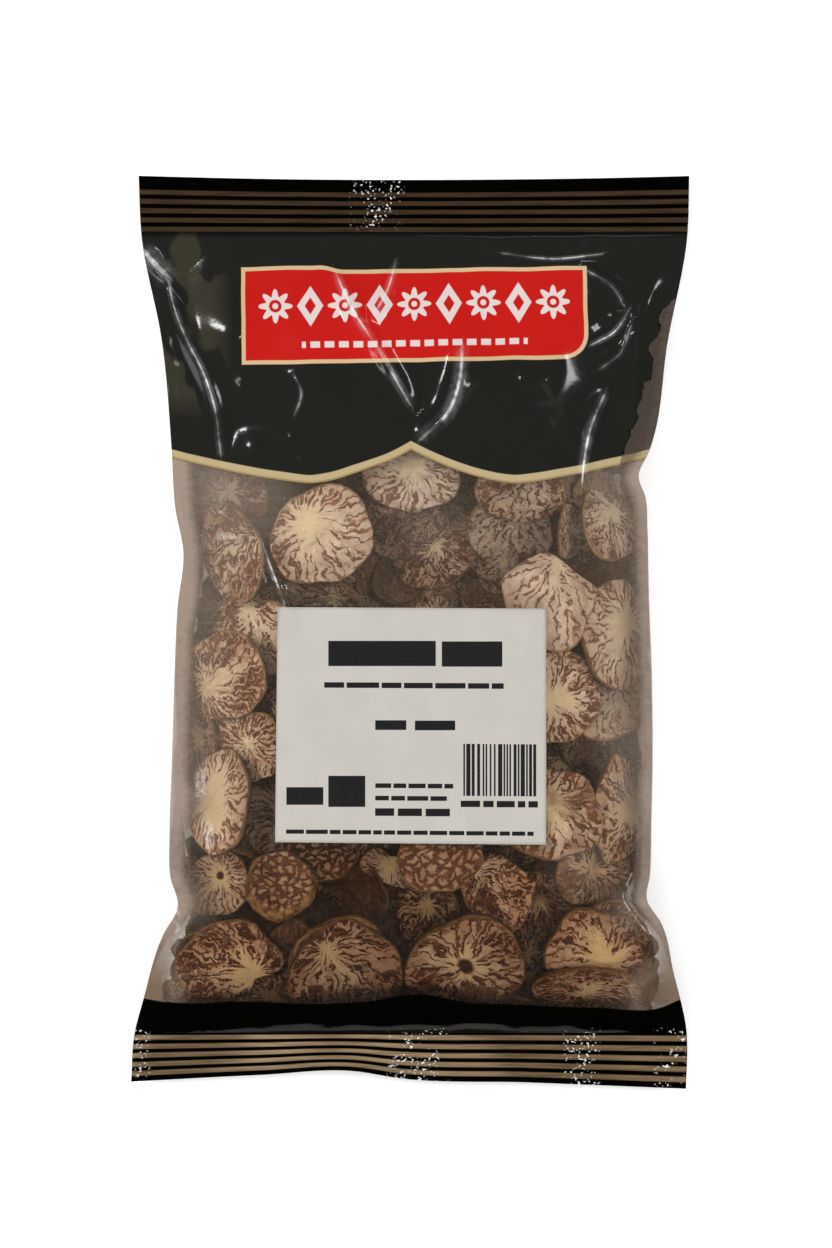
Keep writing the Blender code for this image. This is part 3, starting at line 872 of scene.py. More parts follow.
class MaterialSketch(NodeSketch):
    """Builds a material's node tree."""

    def __init__(self, name: str) -> None:
        """Starts an empty material."""
        self.material = bpy.data.materials.new(name)
        self.material.use_nodes = True
        super().__init__(self.material.node_tree)
        self.tree.nodes.clear()

    def math(self, operation: str, a: Any, b: Any = None, c: Any = None, clamp: bool = False) -> Value:
        """A Math node."""
        inputs = {k: v for k, v in enumerate((a, b, c)) if v is not None}
        made = self.node("ShaderNodeMath", inputs, operation=operation, use_clamp=clamp)
        return Value(self, made.outputs[0])

    def map_range(self, value: Any, low: Any, high: Any, to_low: Any, to_high: Any) -> Value:
        """A smooth Map Range node."""
        inputs = {0: value, 1: low, 2: high, 3: to_low, 4: to_high}
        made = self.node("ShaderNodeMapRange", inputs, interpolation_type="SMOOTHSTEP")
        return Value(self, made.outputs[0])

    def parts(self, vector: Socket) -> tuple[Value, Value, Value]:
        """The three numbers of a vector."""
        made = self.node("ShaderNodeSeparateXYZ", {0: vector})
        return tuple(Value(self, number) for number in made.outputs)

    def place_mm(self) -> tuple[Value, Value, Value]:
        """The object's own coordinates, in millimetres."""
        where = self.node("ShaderNodeTexCoord").outputs["Object"]
        scaled = self.node("ShaderNodeVectorMath", {0: where, 3: 1 / MM}, operation="SCALE")
        return self.parts(scaled.outputs[0])

    def attribute(self, name: str) -> bpy.types.Node:
        """A stored attribute of the mesh."""
        return self.node("ShaderNodeAttribute", attribute_name=name)

    def number(self, name: str) -> Value:
        """A stored number of the mesh."""
        return Value(self, self.attribute(name).outputs["Fac"])

    def noise(self, at: Socket, scale: float, detail: float = 2.0, rough: float = 0.5) -> Value:
        """Smooth noise from 0 to 1."""
        inputs = {"Vector": at, "Scale": scale, "Detail": detail, "Roughness": rough}
        return Value(self, self.node("ShaderNodeTexNoise", inputs).outputs["Fac"])

    def combine(self, operation: str, a: Any, b: Any) -> Socket:
        """A Vector Math node that makes a vector of two."""
        return self.node("ShaderNodeVectorMath", {0: a, 1: b}, operation=operation).outputs[0]

    def blend(self, share: Any, a: Any, b: Any, mode: str = "MIX") -> Socket:
        """Mixes two colours."""
        a = (*a, 1.0) if isinstance(a, tuple) else a
        b = (*b, 1.0) if isinstance(b, tuple) else b
        made = self.node("ShaderNodeMix", {0: share, 6: a, 7: b}, data_type="RGBA", blend_type=mode)
        return made.outputs[2]

    def bump(self, height: Value, distance: float, strength: float = 1.0) -> Socket:
        """A surface normal from a height, whose unit is the distance given in metres."""
        inputs = {"Height": height, "Distance": distance, "Strength": strength}
        return self.node("ShaderNodeBump", inputs).outputs[0]

    def mix_shader(self, share: Any, a: bpy.types.Node, b: bpy.types.Node) -> bpy.types.Node:
        """Mixes two shaders."""
        return self.node("ShaderNodeMixShader", {0: share, 1: a.outputs[0], 2: b.outputs[0]})

    def surface(self, colour: Any, roughness: float, specular: float = 0.5,
                more: dict[str, Any] | None = None) -> bpy.types.Node:
        """A Principled shader, with its constants on its own sockets."""
        inputs = {"Base Color": colour, "Roughness": roughness, "Specular IOR Level": specular}
        return self.node("ShaderNodeBsdfPrincipled", inputs | (more or {}))

    def finish(self, shader: bpy.types.Node) -> Material:
        """Sends a shader to the output and hands over the material."""
        self.node("ShaderNodeOutputMaterial", {"Surface": shader.outputs[0]})
        return self.material


class NutSketch(MaterialSketch):
    """The tree of the slices' material, with what its parts read of a point and its slice.

    (cx, cy, cz) is the point's place on the cut, (qx, qy) its place from the pale heart, r its distance
    from there, out how far it is on the way from the heart to the rim, and reach the same in lobes.
    edge is its distance from the slice's middle. shift sets each slice's noise apart, and uneven and
    patch are such noise. The other values are stored with the slice.
    """

    def __init__(self, name: str) -> None:
        """Reads what the slice stores and works out the point's place on it."""
        super().__init__(name)
        cx, cy, cz = self.parts(self.attribute("cut").outputs["Vector"])
        hx, hy, self.heart_size = self.parts(self.attribute("heart").outputs["Vector"])
        self.net, self.dark, self.skinned = self.parts(self.attribute("look").outputs["Vector"])
        self.seed, self.hollow, self.rim = (self.number(key) for key in ("seed", "hollow", "rim"))
        shift = self.seed * 37.0 + cz.above(0.0, 0.02) * 5.3
        self.cx, self.cy, self.cz, self.shift = cx, cy, cz, shift
        self.flat = self.vector(cx, cy, shift)
        self.crossed = self.vector(cy, cx, shift + 3.1)
        self.qx = cx - hx + (self.noise(self.flat, 1.9, 1.0) - 0.5) * 0.24
        self.qy = cy - hy + (self.noise(self.crossed, 1.9, 1.0) - 0.5) * 0.24
        self.r = self.math("SQRT", self.qx * self.qx + self.qy * self.qy + 0.0009)
        self.edge = self.math("SQRT", cx * cx + cy * cy)
        self.out = self.r / (self.r + self.math("MAXIMUM", 1.0 - self.edge, 0.0) + 0.001)
        self.uneven = self.noise(self.flat, 4.2, 2.0, 0.55)
        self.patch = self.noise(self.vector(cx, cy, shift + 7.7), 1.9, 3.0, 0.6)
        lobes = self.noise(self.round_heart(1.7, shift), 1.9, 2.0) - 0.5
        self.reach = self.out + lobes * 0.95

    def round_heart(self, scale: float, z: Any) -> Socket:
        """The unit vector from the heart to the point, scaled, with a third part of its own."""
        return self.vector(self.qx / self.r * scale, self.qy / self.r * scale, z)


@dataclass(frozen=True)
class NutFinish:
    """The cut face and skin of a dried areca nut, with its branching veins.

    The veins are the borders between scattered cells that are drawn out along the radii, and the
    borders that cross the radii are left out, so that what stays forks on its way to the rim. Slices
    cut near a nut's end keep round cells and all their borders. Veins and cells are sized in radii.
    brewed is the tint of the brownest slices, and grain how deep the face's relief is, in metres.
    """

    name: str = "cut_nut"
    heart: Colour = (0.80, 0.69, 0.47)
    flesh: Colour = (0.735, 0.635, 0.535)
    outer_flesh: Colour = (0.52, 0.41, 0.33)
    lip: Colour = (0.64, 0.48, 0.31)
    between: Colour = (0.40, 0.255, 0.18)
    tan: Colour = (0.48, 0.265, 0.145)
    russet: Colour = (0.25, 0.098, 0.052)
    vein: Colour = (0.105, 0.036, 0.019)
    rind: Colour = (0.50, 0.34, 0.19)
    rind_dark: Colour = (0.20, 0.115, 0.06)
    skin: Colour = (0.37, 0.225, 0.135)
    skin_dark: Colour = (0.16, 0.085, 0.048)
    brewed: Colour = (0.95, 0.82, 0.68)
    cell_count: float = 6.0
    drawn_out: float = 0.30
    vein_width: float = 0.0235
    grain: float = 0.0004

    def border(self, s: MaterialSketch, at: Socket, radial: Socket) -> tuple[Value, Value, Value]:
        """The cell borders of a pattern.

        Args:
            s: the material's sketch.
            at: the place in cells.
            radial: the unit vector along the radius.

        Returns:
            The distance to the nearest border in cells, how nearly that border crosses the radius, and
            the distance to the cell's own point.
        """
        nearest, next_one = (
            s.node("ShaderNodeTexVoronoi", {"Vector": at, "Scale": 1.0, "Randomness": 1.0},
                   voronoi_dimensions="2D", feature=feature)
            for feature in ("F1", "F2")
        )
        between = s.combine("SUBTRACT", next_one.outputs["Position"], nearest.outputs["Position"])
        apart = Value(s, s.node("ShaderNodeVectorMath", {0: between}, operation="LENGTH").outputs["Value"])
        near, far = Value(s, nearest.outputs["Distance"]), Value(s, next_one.outputs["Distance"])
        away = (far * far - near * near) / (apart * 2.0 + 0.001)
        along = s.node("ShaderNodeVectorMath", {0: between, 1: radial}, operation="DOT_PRODUCT")
        return away, abs(Value(s, along.outputs["Value"])) / (apart + 0.001), near

    def veins(self, s: NutSketch) -> tuple[Value, Value, Value, Value]:
        """The veins, in cells whose borders wiggle finely and sway broadly.

        Args:
            s: the material's sketch.

        Returns:
            Masks of the veins' cores, of the halos round them, of the dim valleys that they run in, and
            of where they have begun outside the heart.
        """
        net, dark = s.net, s.dark
        stretch = net * (1.0 - self.drawn_out) + self.drawn_out
        count = self.cell_count * (0.84 + s.math("FRACT", s.seed * 5.37) * 0.34) * (1.0 - net * 0.30)
        scale = (s.r ** (stretch - 1.0)) * count
        wiggle = (1.4 + dark * 0.6) * (1.0 - net * 0.40)
        sway = (2.3 + dark * 1.3) * (1.0 - net * 0.7)
        px, py = (
            q * scale + (s.noise(at, 8.0, 2.0, 0.6) - 0.5) * wiggle + (s.noise(at, 2.8, 1.0) - 0.5) * sway
            for q, at in ((s.qx, s.flat), (s.qy, s.crossed))
        )
        away, crossing, near = self.border(s, s.vector(px + s.shift * 3.0, py), s.round_heart(1.0, 0.0))
        kept = 1.0 - crossing.step(0.55, 0.90) * (1.0 - net) * (1.0 - dark * 0.35)
        grown = s.map_range(s.reach, s.heart_size * 0.5, s.heart_size + 0.35, 0.0, 1.0)
        width = self.vein_width * (0.68 + dark * 0.84) * (s.uneven * 2.8 - 0.3) * (0.35 + s.out * 0.95)
        width = s.math("MAXIMUM", width * kept * grown * (1.0 - net * 0.1), 0.0)
        off = (away - net * s.math("MAXIMUM", near - 0.36, 0.0) * 0.45) / scale
        there = width.step(0.005, 0.012)
        cores = (1.0 - s.map_range(off, width * 0.60, width * 1.7 + 0.010, 0.0, 1.0)) * there
        halos = (1.0 - s.map_range(off, width * 0.7, width * 2.8 + 0.030, 0.0, 1.0)) * there
        valleys = (1.0 - away.step(0.02, 0.34)) * grown * (1.0 - net * 0.3)
        return cores, halos, valleys, grown

    def face(self, s: NutSketch) -> tuple[Socket, Value]:
        """The cut face's colour and its veins' cores: pale heart, stains and flecks, veins, then the rim."""
        cores, halos, valleys, grown = self.veins(s)
        dark, net = s.dark, s.net
        broken = s.noise(s.crossed, 5.0, 2.0, 0.55)
        stain = s.math("MULTIPLY_ADD", s.patch - 0.5, 3.0, dark * 0.65 + s.out * 0.35 - 0.30, clamp=True)
        fibre = s.noise(s.round_heart(9.0, s.r * 3.0 + s.shift), 3.0, 2.0, 0.6)
        speck = s.noise(s.flat, 30.0, 2.0, 0.6)
        past_heart = s.map_range(s.reach, s.heart_size * 0.3, s.heart_size + 0.35, 0.0, 1.0)
        colour = s.blend(past_heart, self.heart, self.flesh)
        for mask, coat in (
            (s.math("MAXIMUM", s.reach.step(0.45, 1.0) * 0.75, net * 0.28), self.outer_flesh),
            (valleys * (broken * 1.2 - 0.1) * (0.45 + dark * 0.25), self.between),
            (stain * grown * 0.70, self.tan),
            (s.math("MULTIPLY_ADD", fibre - 0.5, 1.0, 0.10, clamp=True), self.tan),
            (speck.step(0.55, 0.75) * 0.25, self.tan),
            (halos * (0.42 + dark * 0.40), s.blend(stain, self.tan, self.russet)),
            (cores * (0.80 + dark * 0.16) * (1.0 - net * 0.14),
             s.blend(broken.step(0.45, 0.7), self.vein, self.russet)),
            (s.math("SQRT", s.qx * s.qx + s.qy * s.qy).below(s.hollow, 0.05) * s.hollow.above(0.02, 0.01),
             self.vein),
            ((s.edge + (s.uneven - 0.5) * 0.12).step(0.945, 0.985) * 0.75,
             s.blend(s.uneven.step(0.4, 0.6), self.rind_dark, self.rind)),
        ):
            colour = s.blend(mask, colour, coat)
        return colour, cores

    def skinned(self, s: NutSketch, face: Socket) -> Socket:
        """Lays the nut's skin on the faces that it covers and round the rim."""
        grain = s.noise(s.vector(s.cx, s.cy, s.cz * 0.6 + s.shift), 4.0, 4.0, 0.65)
        drawn = s.vector(s.cx * 7.0, s.cy * 2.2 + grain, s.cz * 0.5 + s.shift)
        strands = s.noise(drawn, 1.6, 4.0, 0.7)
        husk = s.blend(strands.step(0.35, 0.65), self.skin_dark, self.skin)
        husk = s.blend(grain.step(0.48, 0.70) * 0.55, husk, self.rind)
        husk = s.blend(s.edge.step(0.91, 0.98) * s.uneven.step(0.35, 0.55) * 0.8, husk, self.lip)
        covered = s.math("MULTIPLY_ADD", s.patch + s.skinned, 3.0, -2.6, clamp=True)
        rind = s.blend(grain.step(0.35, 0.65), self.rind, self.rind_dark)
        return s.blend(s.rim.step(0.05, 0.6), s.blend(covered, face, husk), rind)

    def toned(self, s: NutSketch, colour: Socket) -> Socket:
        """Makes the slice as light as its tone, darkened by painted shade deep in the heap, and browner and
        darker towards the foot, where the darkening is partly a painted shade.
        """
        # The tone holds each face's lightness with its painted shade deep in the heap, and how brown and how
        # shaded the slice is towards the foot.
        upper, foot_brown_and_shade, lower = s.parts(s.attribute("tone").outputs["Vector"])
        is_upper = s.cz.above(0.0, 0.8)
        level = (upper * is_upper + lower * (1.0 - is_upper)) * (1.0 - foot_brown_and_shade * 0.10)
        gamma = s.math("MAXIMUM", 1.0 - level, 0.0) * 0.9 + foot_brown_and_shade * 0.42 + 1.0
        colour = s.node("ShaderNodeGamma", {"Color": colour, "Gamma": gamma}).outputs[0]
        level = level ** 0.6
        colour = s.blend(1.0, colour, s.vector(level, level, level), "MULTIPLY")
        return s.blend(foot_brown_and_shade, colour, s.blend(1.0, colour, self.brewed, "MULTIPLY"))

    def material(self) -> Material:
        """Builds the material from the attributes that each slice carries."""
        s = NutSketch(self.name)
        face, cores = self.face(s)
        colour = self.toned(s, self.skinned(s, face))
        relief = s.noise(s.flat, 2.4, 2.0) * 6.0 + s.noise(s.flat, 14.0, 2.0, 0.6) - cores * 0.5
        return s.finish(s.surface(colour, 0.7, 0.35, {"Normal": s.bump(relief, self.grain, 0.9)}))


@dataclass(frozen=True)
class FilmPrint:
    """Where the film is printed, in millimetres on the flat face of the pouch."""

    cusp_x: float = 0.2
    waist: float = 24.5
    dip_height: float = 37.6
    cusp_rise: float = 8.0
    end_rise: float = 4.1
    stripe: float = 2.1
    back_header_line: float = 40.0
    panel: tuple[float, float, float, float] = (1.0, 76.4, 41.4, 11.8)
    panel_turn: float = 1.0
    panel_border: float = 0.95
    panel_corner: float = 6.0
    panel_fold: float = 1.2
    motif_pitch: float = 8.3
    motif_line: float = 2.1
    dash_line: float = -7.3
    dash_pitch: float = 3.4
    seam_half_width: float = 5.5
    # The middle and reach of a painted reflection on the black film, not print.
    sheen_facet: tuple[float, float, float, float] = (24.0, 52.0, 11.0, 9.0)
    # Where the seals' painted highlights stand: middle, half width, and whether on the header.
    glint_spots: tuple[tuple[float, float, bool], ...] = (
        (2.0, 7.0, False), (41.0, 4.0, False), (62.5, 3.6, False), (-64.4, 1.6, False), (-8.0, 6.0, True),
    )


class FilmSketch(MaterialSketch):
    """The tree of the film's material, with what its parts read of a point.

    (x, y, z) is the point's place in millimetres and where the same as one vector, (px, py) its place
    in the print, which drifts a little, and front is 1 on the front face. header, stripe and foot are
    the masks of the printed bands, stripe_edge of the stripe's dark lower edge, printed_side of where
    the header's print reaches on the right, and cover how much any print hides.
    """

    def __init__(self, name: str, lay: FilmPrint) -> None:
        """Works out the point's place and which print lies there."""
        super().__init__(name)
        self.x, self.y, self.z = self.place_mm()
        self.front = self.number("front")
        self.back = 1.0 - self.front
        self.where = self.vector(self.x, self.y, self.z)
        drift = self.noise(self.where, 0.09, 1.0) - 0.5
        self.px, self.py = self.x + drift * 0.5, self.y - drift * 0.6
        away = abs(self.px - lay.cusp_x) / lay.waist
        inner = self.math("MAXIMUM", 1.0 - away, 0.0) ** 1.6
        outer = self.math("MAXIMUM", away - 1.0, 0.0) ** 1.4
        ogee = lay.dip_height + inner * lay.cusp_rise + outer * lay.end_rise
        ogee = ogee * self.front + lay.back_header_line * self.back
        self.header = self.py.above(ogee, 0.18)
        self.stripe = self.py.above(ogee - lay.stripe, 0.18) * (1.0 - self.header)
        self.stripe_edge = self.py.below(ogee - lay.stripe + 0.5, 0.3)
        margin, into_foot, _ = self.parts(self.attribute("print").outputs["Vector"])
        self.foot = into_foot.above(0.0, 0.3)
        ragged = self.noise(self.where, 0.22, 3.0, 0.6)
        self.printed_side = (margin + (ragged - 0.5) * 5.0).above(0.0, 0.5) | self.back
        striped = self.stripe * self.printed_side.step(0.0, 1.0, 0.45, 1.0)
        self.cover = (self.header * self.printed_side) | self.foot | striped


@dataclass(frozen=True)
class FilmFinish:
    """Clear glossy film with black, gold and red print, and light painted into it: highlights on its creases
    and seals, an even sheen and reflections on its black, and a reflection on its crimps' crests. Its
    crumples are crumple metres deep.
    """

    name: str = "clear_film"
    layout: FilmPrint = FilmPrint()
    black: Colour = (0.0008, 0.0008, 0.0006)
    # A painted even sheen lightens the body's black and stands in for the room mirrored in it; the seals keep
    # the plain black.
    black_with_sheen: Colour = (0.0128, 0.0130, 0.0112)
    # Brown patches on the black: a painted reflection on the film's facets, partly thin ink.
    thin_black_and_sheen: Colour = (0.036, 0.032, 0.022)
    gold: Colour = (0.40, 0.315, 0.172)
    gold_dark: Colour = (0.28, 0.19, 0.09)
    red: Colour = (0.44, 0.010, 0.008)
    cream: Colour = (0.52, 0.38, 0.21)
    white: Colour = (0.60, 0.51, 0.49)
    # A painted reflection of warm light on the crimps' crests, at the header and at the foot.
    header_crest_sheen: Colour = (0.046, 0.027, 0.015)
    foot_crest_sheen: Colour = (0.30, 0.21, 0.125)
    foot_crest_sheen_dim: Colour = (0.15, 0.098, 0.052)
    haze: Colour = (0.278, 0.218, 0.176)
    haze_low: Colour = (0.155, 0.108, 0.072)
    haze_thin: Colour = (0.46, 0.375, 0.295)
    haze_dark: Colour = (0.075, 0.058, 0.048)
    # The white of the painted highlights along the creases and on the seals, partly whitened film.
    wear_and_highlight: Colour = (0.72, 0.71, 0.70)
    dull: Colour = (0.36, 0.35, 0.34)
    clear: Colour = (0.988, 0.958, 0.918)
    crumple: float = 0.00003

    def ornament(self, s: FilmSketch, u: Value, v: Value) -> Value:
        """A mask of the red panel's plain ornament: a row of lozenges and rosettes over a dashed line."""
        lay = self.layout
        nearest = s.math("PINGPONG", u + lay.motif_pitch / 2, lay.motif_pitch)
        along = nearest - lay.motif_pitch / 2
        across = v - lay.motif_line
        radius = s.math("SQRT", along * along + across * across)
        petals = s.math("COSINE", s.math("ARCTAN2", across, along) * 8.0)
        rosette = radius.below(petals * 0.9 + 3.2, 0.2) * radius.above(1.5, 0.2) | radius.below(0.7, 0.2)
        size = abs(along) * 1.55 + abs(across)
        lozenge = size.below(4.9, 0.25) * size.above(2.1, 0.25)
        turn_about = s.math("FLOORED_MODULO", s.math("ROUND", u / lay.motif_pitch), 2.0)
        row = (lozenge * turn_about + rosette * (1.0 - turn_about)) * abs(u).below(37.2, 0.1)
        gap = s.math("PINGPONG", u, lay.dash_pitch / 2)
        dash = gap.below(1.15, 0.15) * abs(v - lay.dash_line).below(0.75, 0.15) * abs(u).below(27.0, 0.1)
        return row | dash

    def panel(self, s: FilmSketch) -> tuple[Value, Value, Value]:
        """The masks of the red panel, which has one round corner, of its border and of its ornament."""
        lay = self.layout
        middle_x, middle_y, half_w, half_h = lay.panel
        turn = math.radians(lay.panel_turn)
        u = (s.px - middle_x) * math.cos(turn) + (s.py - middle_y) * math.sin(turn)
        v = (s.py - middle_y) * math.cos(turn) - (s.px - middle_x) * math.sin(turn)
        folded = u.step(-22.5, -16.5, 0.0, lay.panel_fold)
        inside = (half_w - abs(u)) & (half_h - folded - v) & (half_h + v)
        round_u = s.math("MAXIMUM", u - (half_w - lay.panel_corner), 0.0)
        round_v = s.math("MAXIMUM", (lay.panel_corner - half_h) - v, 0.0)
        inside = inside & (lay.panel_corner - s.math("SQRT", round_u * round_u + round_v * round_v))
        panel = inside.above(0.0, 0.15) * s.front
        ornament = self.ornament(s, u, v) * inside.above(2.0, 0.1)
        return panel, inside.below(lay.panel_border, 0.15) * panel, ornament * panel

    def glints(self, s: FilmSketch) -> Value:
        """A mask of painted highlights: bright flecks that stand in groups on the seals."""
        spots = 0.0
        for middle, half, at_head in self.layout.glint_spots:
            seal = s.y.above(97.0, 2.0) if at_head else s.y.below(-95.0, 1.0)
            spots = s.math("MAXIMUM", abs(s.x - middle).below(half, 1.5) * seal, spots)
        flecks = s.noise(s.where, 1.4, 1.0, 0.5).step(0.60, 0.66)
        return flecks * s.noise(s.where, 0.3, 1.0).step(0.42, 0.58) * spots

    def crease_highlight(self, s: FilmSketch) -> Value:
        """A painted highlight along the creases, partly whitened film: a bright broken line in a wide faint
        glow.
        """
        across, strength, _ = s.parts(s.attribute("streak").outputs["Vector"])
        patchy = s.noise(s.where, 0.13, 2.0).step(0.34, 0.60, 0.12, 1.0)
        patchy = patchy * s.noise(s.where, 0.7, 1.0).step(0.3, 0.6, 0.45, 1.0)
        line = abs(across).step(0.25, 1.0, 1.0, 0.0) | abs(across).step(0.0, 4.0, 0.20, 0.0)
        return s.math("MULTIPLY", strength * patchy, line, clamp=True)

    def ink(self, s: FilmSketch) -> Socket:
        """The print's colour: gold, red and black, with a painted even sheen over the black, brown patches
        that are a painted reflection and partly thin ink, and a painted reflection of warm light on the
        crimps' crests.
        """
        x, y, z = s.x, s.y, s.z
        on_crimp, crimp, _ = s.parts(s.attribute("seal").outputs["Vector"])
        # Painted reflection of warm light on the crimps' crests, broken up along them, and at the foot
        # brighter to the left.
        sheen_breaks = s.noise(s.vector(x * 0.10, y * 1.8, z), 1.0, 2.0)
        ridge = s.math("COSINE", crimp * (2 * math.pi)).step(-0.45, 0.25)
        ridge = ridge * sheen_breaks.step(0.25, 0.6, 0.55, 1.0) * on_crimp
        bright = s.noise(s.vector(x, y, 4.0), 0.035, 1.0).step(0.4, 0.6) * x.step(-40.0, 40.0, 1.0, 0.3)
        # Brown patches in the black, mostly on the facets: a painted reflection, partly thin ink.
        thin = s.noise(s.vector(x * 0.9, y * 0.6, z), 0.06, 2.5, 0.55)
        sheen_x, sheen_y, reach_x, reach_y = self.layout.sheen_facet
        off_x, off_y = (x - sheen_x) / reach_x, (y - sheen_y) / reach_y
        sheen_facets = (off_x * off_x + off_y * off_y).below(1.0, 0.8) | x.below(-45.0, 5.0) * y.above(54.0, 6.0)
        panel, border, ornament = self.panel(s)
        ink = s.blend(thin.step(0.49, 0.52) * sheen_facets * 0.9, self.black_with_sheen, self.thin_black_and_sheen)
        for mask, colour in (
            ((1.0 - y.below(95.3, 2.0)) | s.foot, self.black),
            (ridge * y.above(90.0, 1.0), self.header_crest_sheen),
            (ridge * y.below(-90.0, 1.0), s.blend(bright, self.foot_crest_sheen_dim, self.foot_crest_sheen)),
            (s.stripe, s.blend(s.stripe_edge, self.gold, self.gold_dark)),
            (panel, self.red),
            (border, self.cream),
            (ornament, self.white),
        ):
            ink = s.blend(mask, ink, colour)
        return ink

    def mist(self, s: FilmSketch) -> tuple[Value, Socket]:
        """How milky the clear film is, most at its sides, with its dust specks, which partly stand in for
        fine painted glints, and its back seam, and in what colour.
        """
        x, y, where = s.x, s.y, s.where
        haze = s.number("haze")
        streaks = s.noise(s.vector(x * 0.12, y, s.z), 0.8, 2.0)
        # Dust specks, partly painted glints on the film over the slices.
        dust_and_glints = s.noise(where, 2.6, 2.0, 0.7).step(0.50, 0.80) * s.noise(where, 0.10, 2.0).step(0.35, 0.65)
        seam_half = self.layout.seam_half_width
        seam_line = abs(abs(x) - seam_half).below(0.3, 0.2)
        seam = abs(x).below(seam_half, 0.15) * 0.10 + seam_line * 0.3
        mist = haze * (0.85 + (streaks - 0.5) * 0.5) + dust_and_glints * 0.16 + seam * s.back
        mist = mist | s.header * (1.0 - s.printed_side) * 0.75
        colour = s.blend(y.below(-78.0, 14.0), self.haze, self.haze_low)
        colour = s.blend(haze.step(0.15, 0.45), self.haze_thin, colour)
        return mist, s.blend(s.header, colour, self.haze_dark)

    def material(self) -> Material:
        """Builds the film: print, mist and painted highlights where they lie, clear between, with a gloss
        over all of it.
        """
        s = FilmSketch(self.name, self.layout)
        mist, mist_colour = self.mist(s)
        worn_and_highlighted = self.crease_highlight(s)
        colour = s.blend(s.cover.step(0.0, 0.15), mist_colour, self.ink(s))
        # Painted highlight along the creases, partly whitened film; it also makes the film solid there.
        colour = s.blend(worn_and_highlighted, colour, self.wear_and_highlight)
        # Painted highlights: bright flecks in groups on the seals.
        colour = s.blend(self.glints(s), colour, self.wear_and_highlight)
        solid = s.math("MAXIMUM", s.cover | worn_and_highlighted, mist, clamp=True)
        near_seals = s.y.above(94.0, 3.0) | s.y.below(-92.0, 3.0)
        clusters = s.noise(s.vector(s.x, s.y * 1.6, s.z), 0.06, 1.0).step(0.5, 0.58) * near_seals
        crumpled = s.noise(s.where, 0.35, 2.0, 0.5) + s.noise(s.where, 1.3, 2.0, 0.6) * clusters * 2.2
        normal = {"Normal": s.bump(crumpled, self.crumple)}
        shine = s.blend(s.y.below(-89.0, 3.0), (1.0, 1.0, 1.0), self.dull)
        body = s.surface(colour, 0.55, 0.0, normal)
        clear = s.node("ShaderNodeBsdfTransparent", {"Color": (*self.clear, 1.0)})
        gloss = s.node("ShaderNodeBsdfGlossy", {"Color": shine, "Roughness": 0.11} | normal)
        mirrored = s.node("ShaderNodeFresnel", {"IOR": 1.5} | normal)
        film = s.mix_shader(solid, clear, body)
        return s.finish(s.mix_shader(mirrored.outputs[0], film, gloss))


@dataclass(frozen=True)
class PaperFinish:
    """Off-white coated paper."""

    name: str = "label_paper"
    paper: Colour = (0.446, 0.426, 0.387)
    shade: Colour = (0.426, 0.406, 0.367)

    def material(self) -> Material:
        """Builds the material."""
        s = MaterialSketch(self.name)
        x, y, z = s.place_mm()
        cloud = s.noise(s.vector(x, y, z), 0.12, 3.0)
        fibre = s.noise(s.vector(x, y * 2.0, z), 2.4, 3.0, 0.6)
        colour = s.blend(cloud.step(0.35, 0.65), self.paper, self.shade)
        return s.finish(s.surface(colour, 0.42, 0.4, {"Normal": s.bump(fibre, 0.00002)}))


@dataclass(frozen=True)
class InkFinish:
    """Matt black label ink, a little worn."""

    name: str = "label_ink"
    ink: Colour = (0.012, 0.012, 0.013)
    worn_and_highlighted: Colour = (0.020, 0.019, 0.018)

    def material(self) -> Material:
        """Builds the material."""
        s = MaterialSketch(self.name)
        x, y, z = s.place_mm()
        wear_and_highlight = s.noise(s.vector(x, y, z), 1.5, 3.0, 0.6)
        colour = s.blend(wear_and_highlight.step(0.5, 0.72), self.ink, self.worn_and_highlighted)
        return s.finish(s.surface(colour, 0.5))


@dataclass(frozen=True)
class FloorFinish:
    """A plain pale floor that glows a little, so that the shadow on it stays faint."""

    name: str = "pale_floor"
    tone: float = 0.95
    glow: float = 0.26

    def material(self) -> Material:
        """Builds the material."""
        s = MaterialSketch(self.name)
        x, y, z = s.place_mm()
        cloud = s.noise(s.vector(x, y, z), 0.004, 2.0)
        colour = s.blend(cloud, (self.tone,) * 3, (self.tone * 0.985,) * 3)
        glow = {"Emission Color": (1.0, 1.0, 1.0, 1.0), "Emission Strength": self.glow}
        return s.finish(s.surface(colour, 0.9, 0.1, glow))


# Geometry Nodes


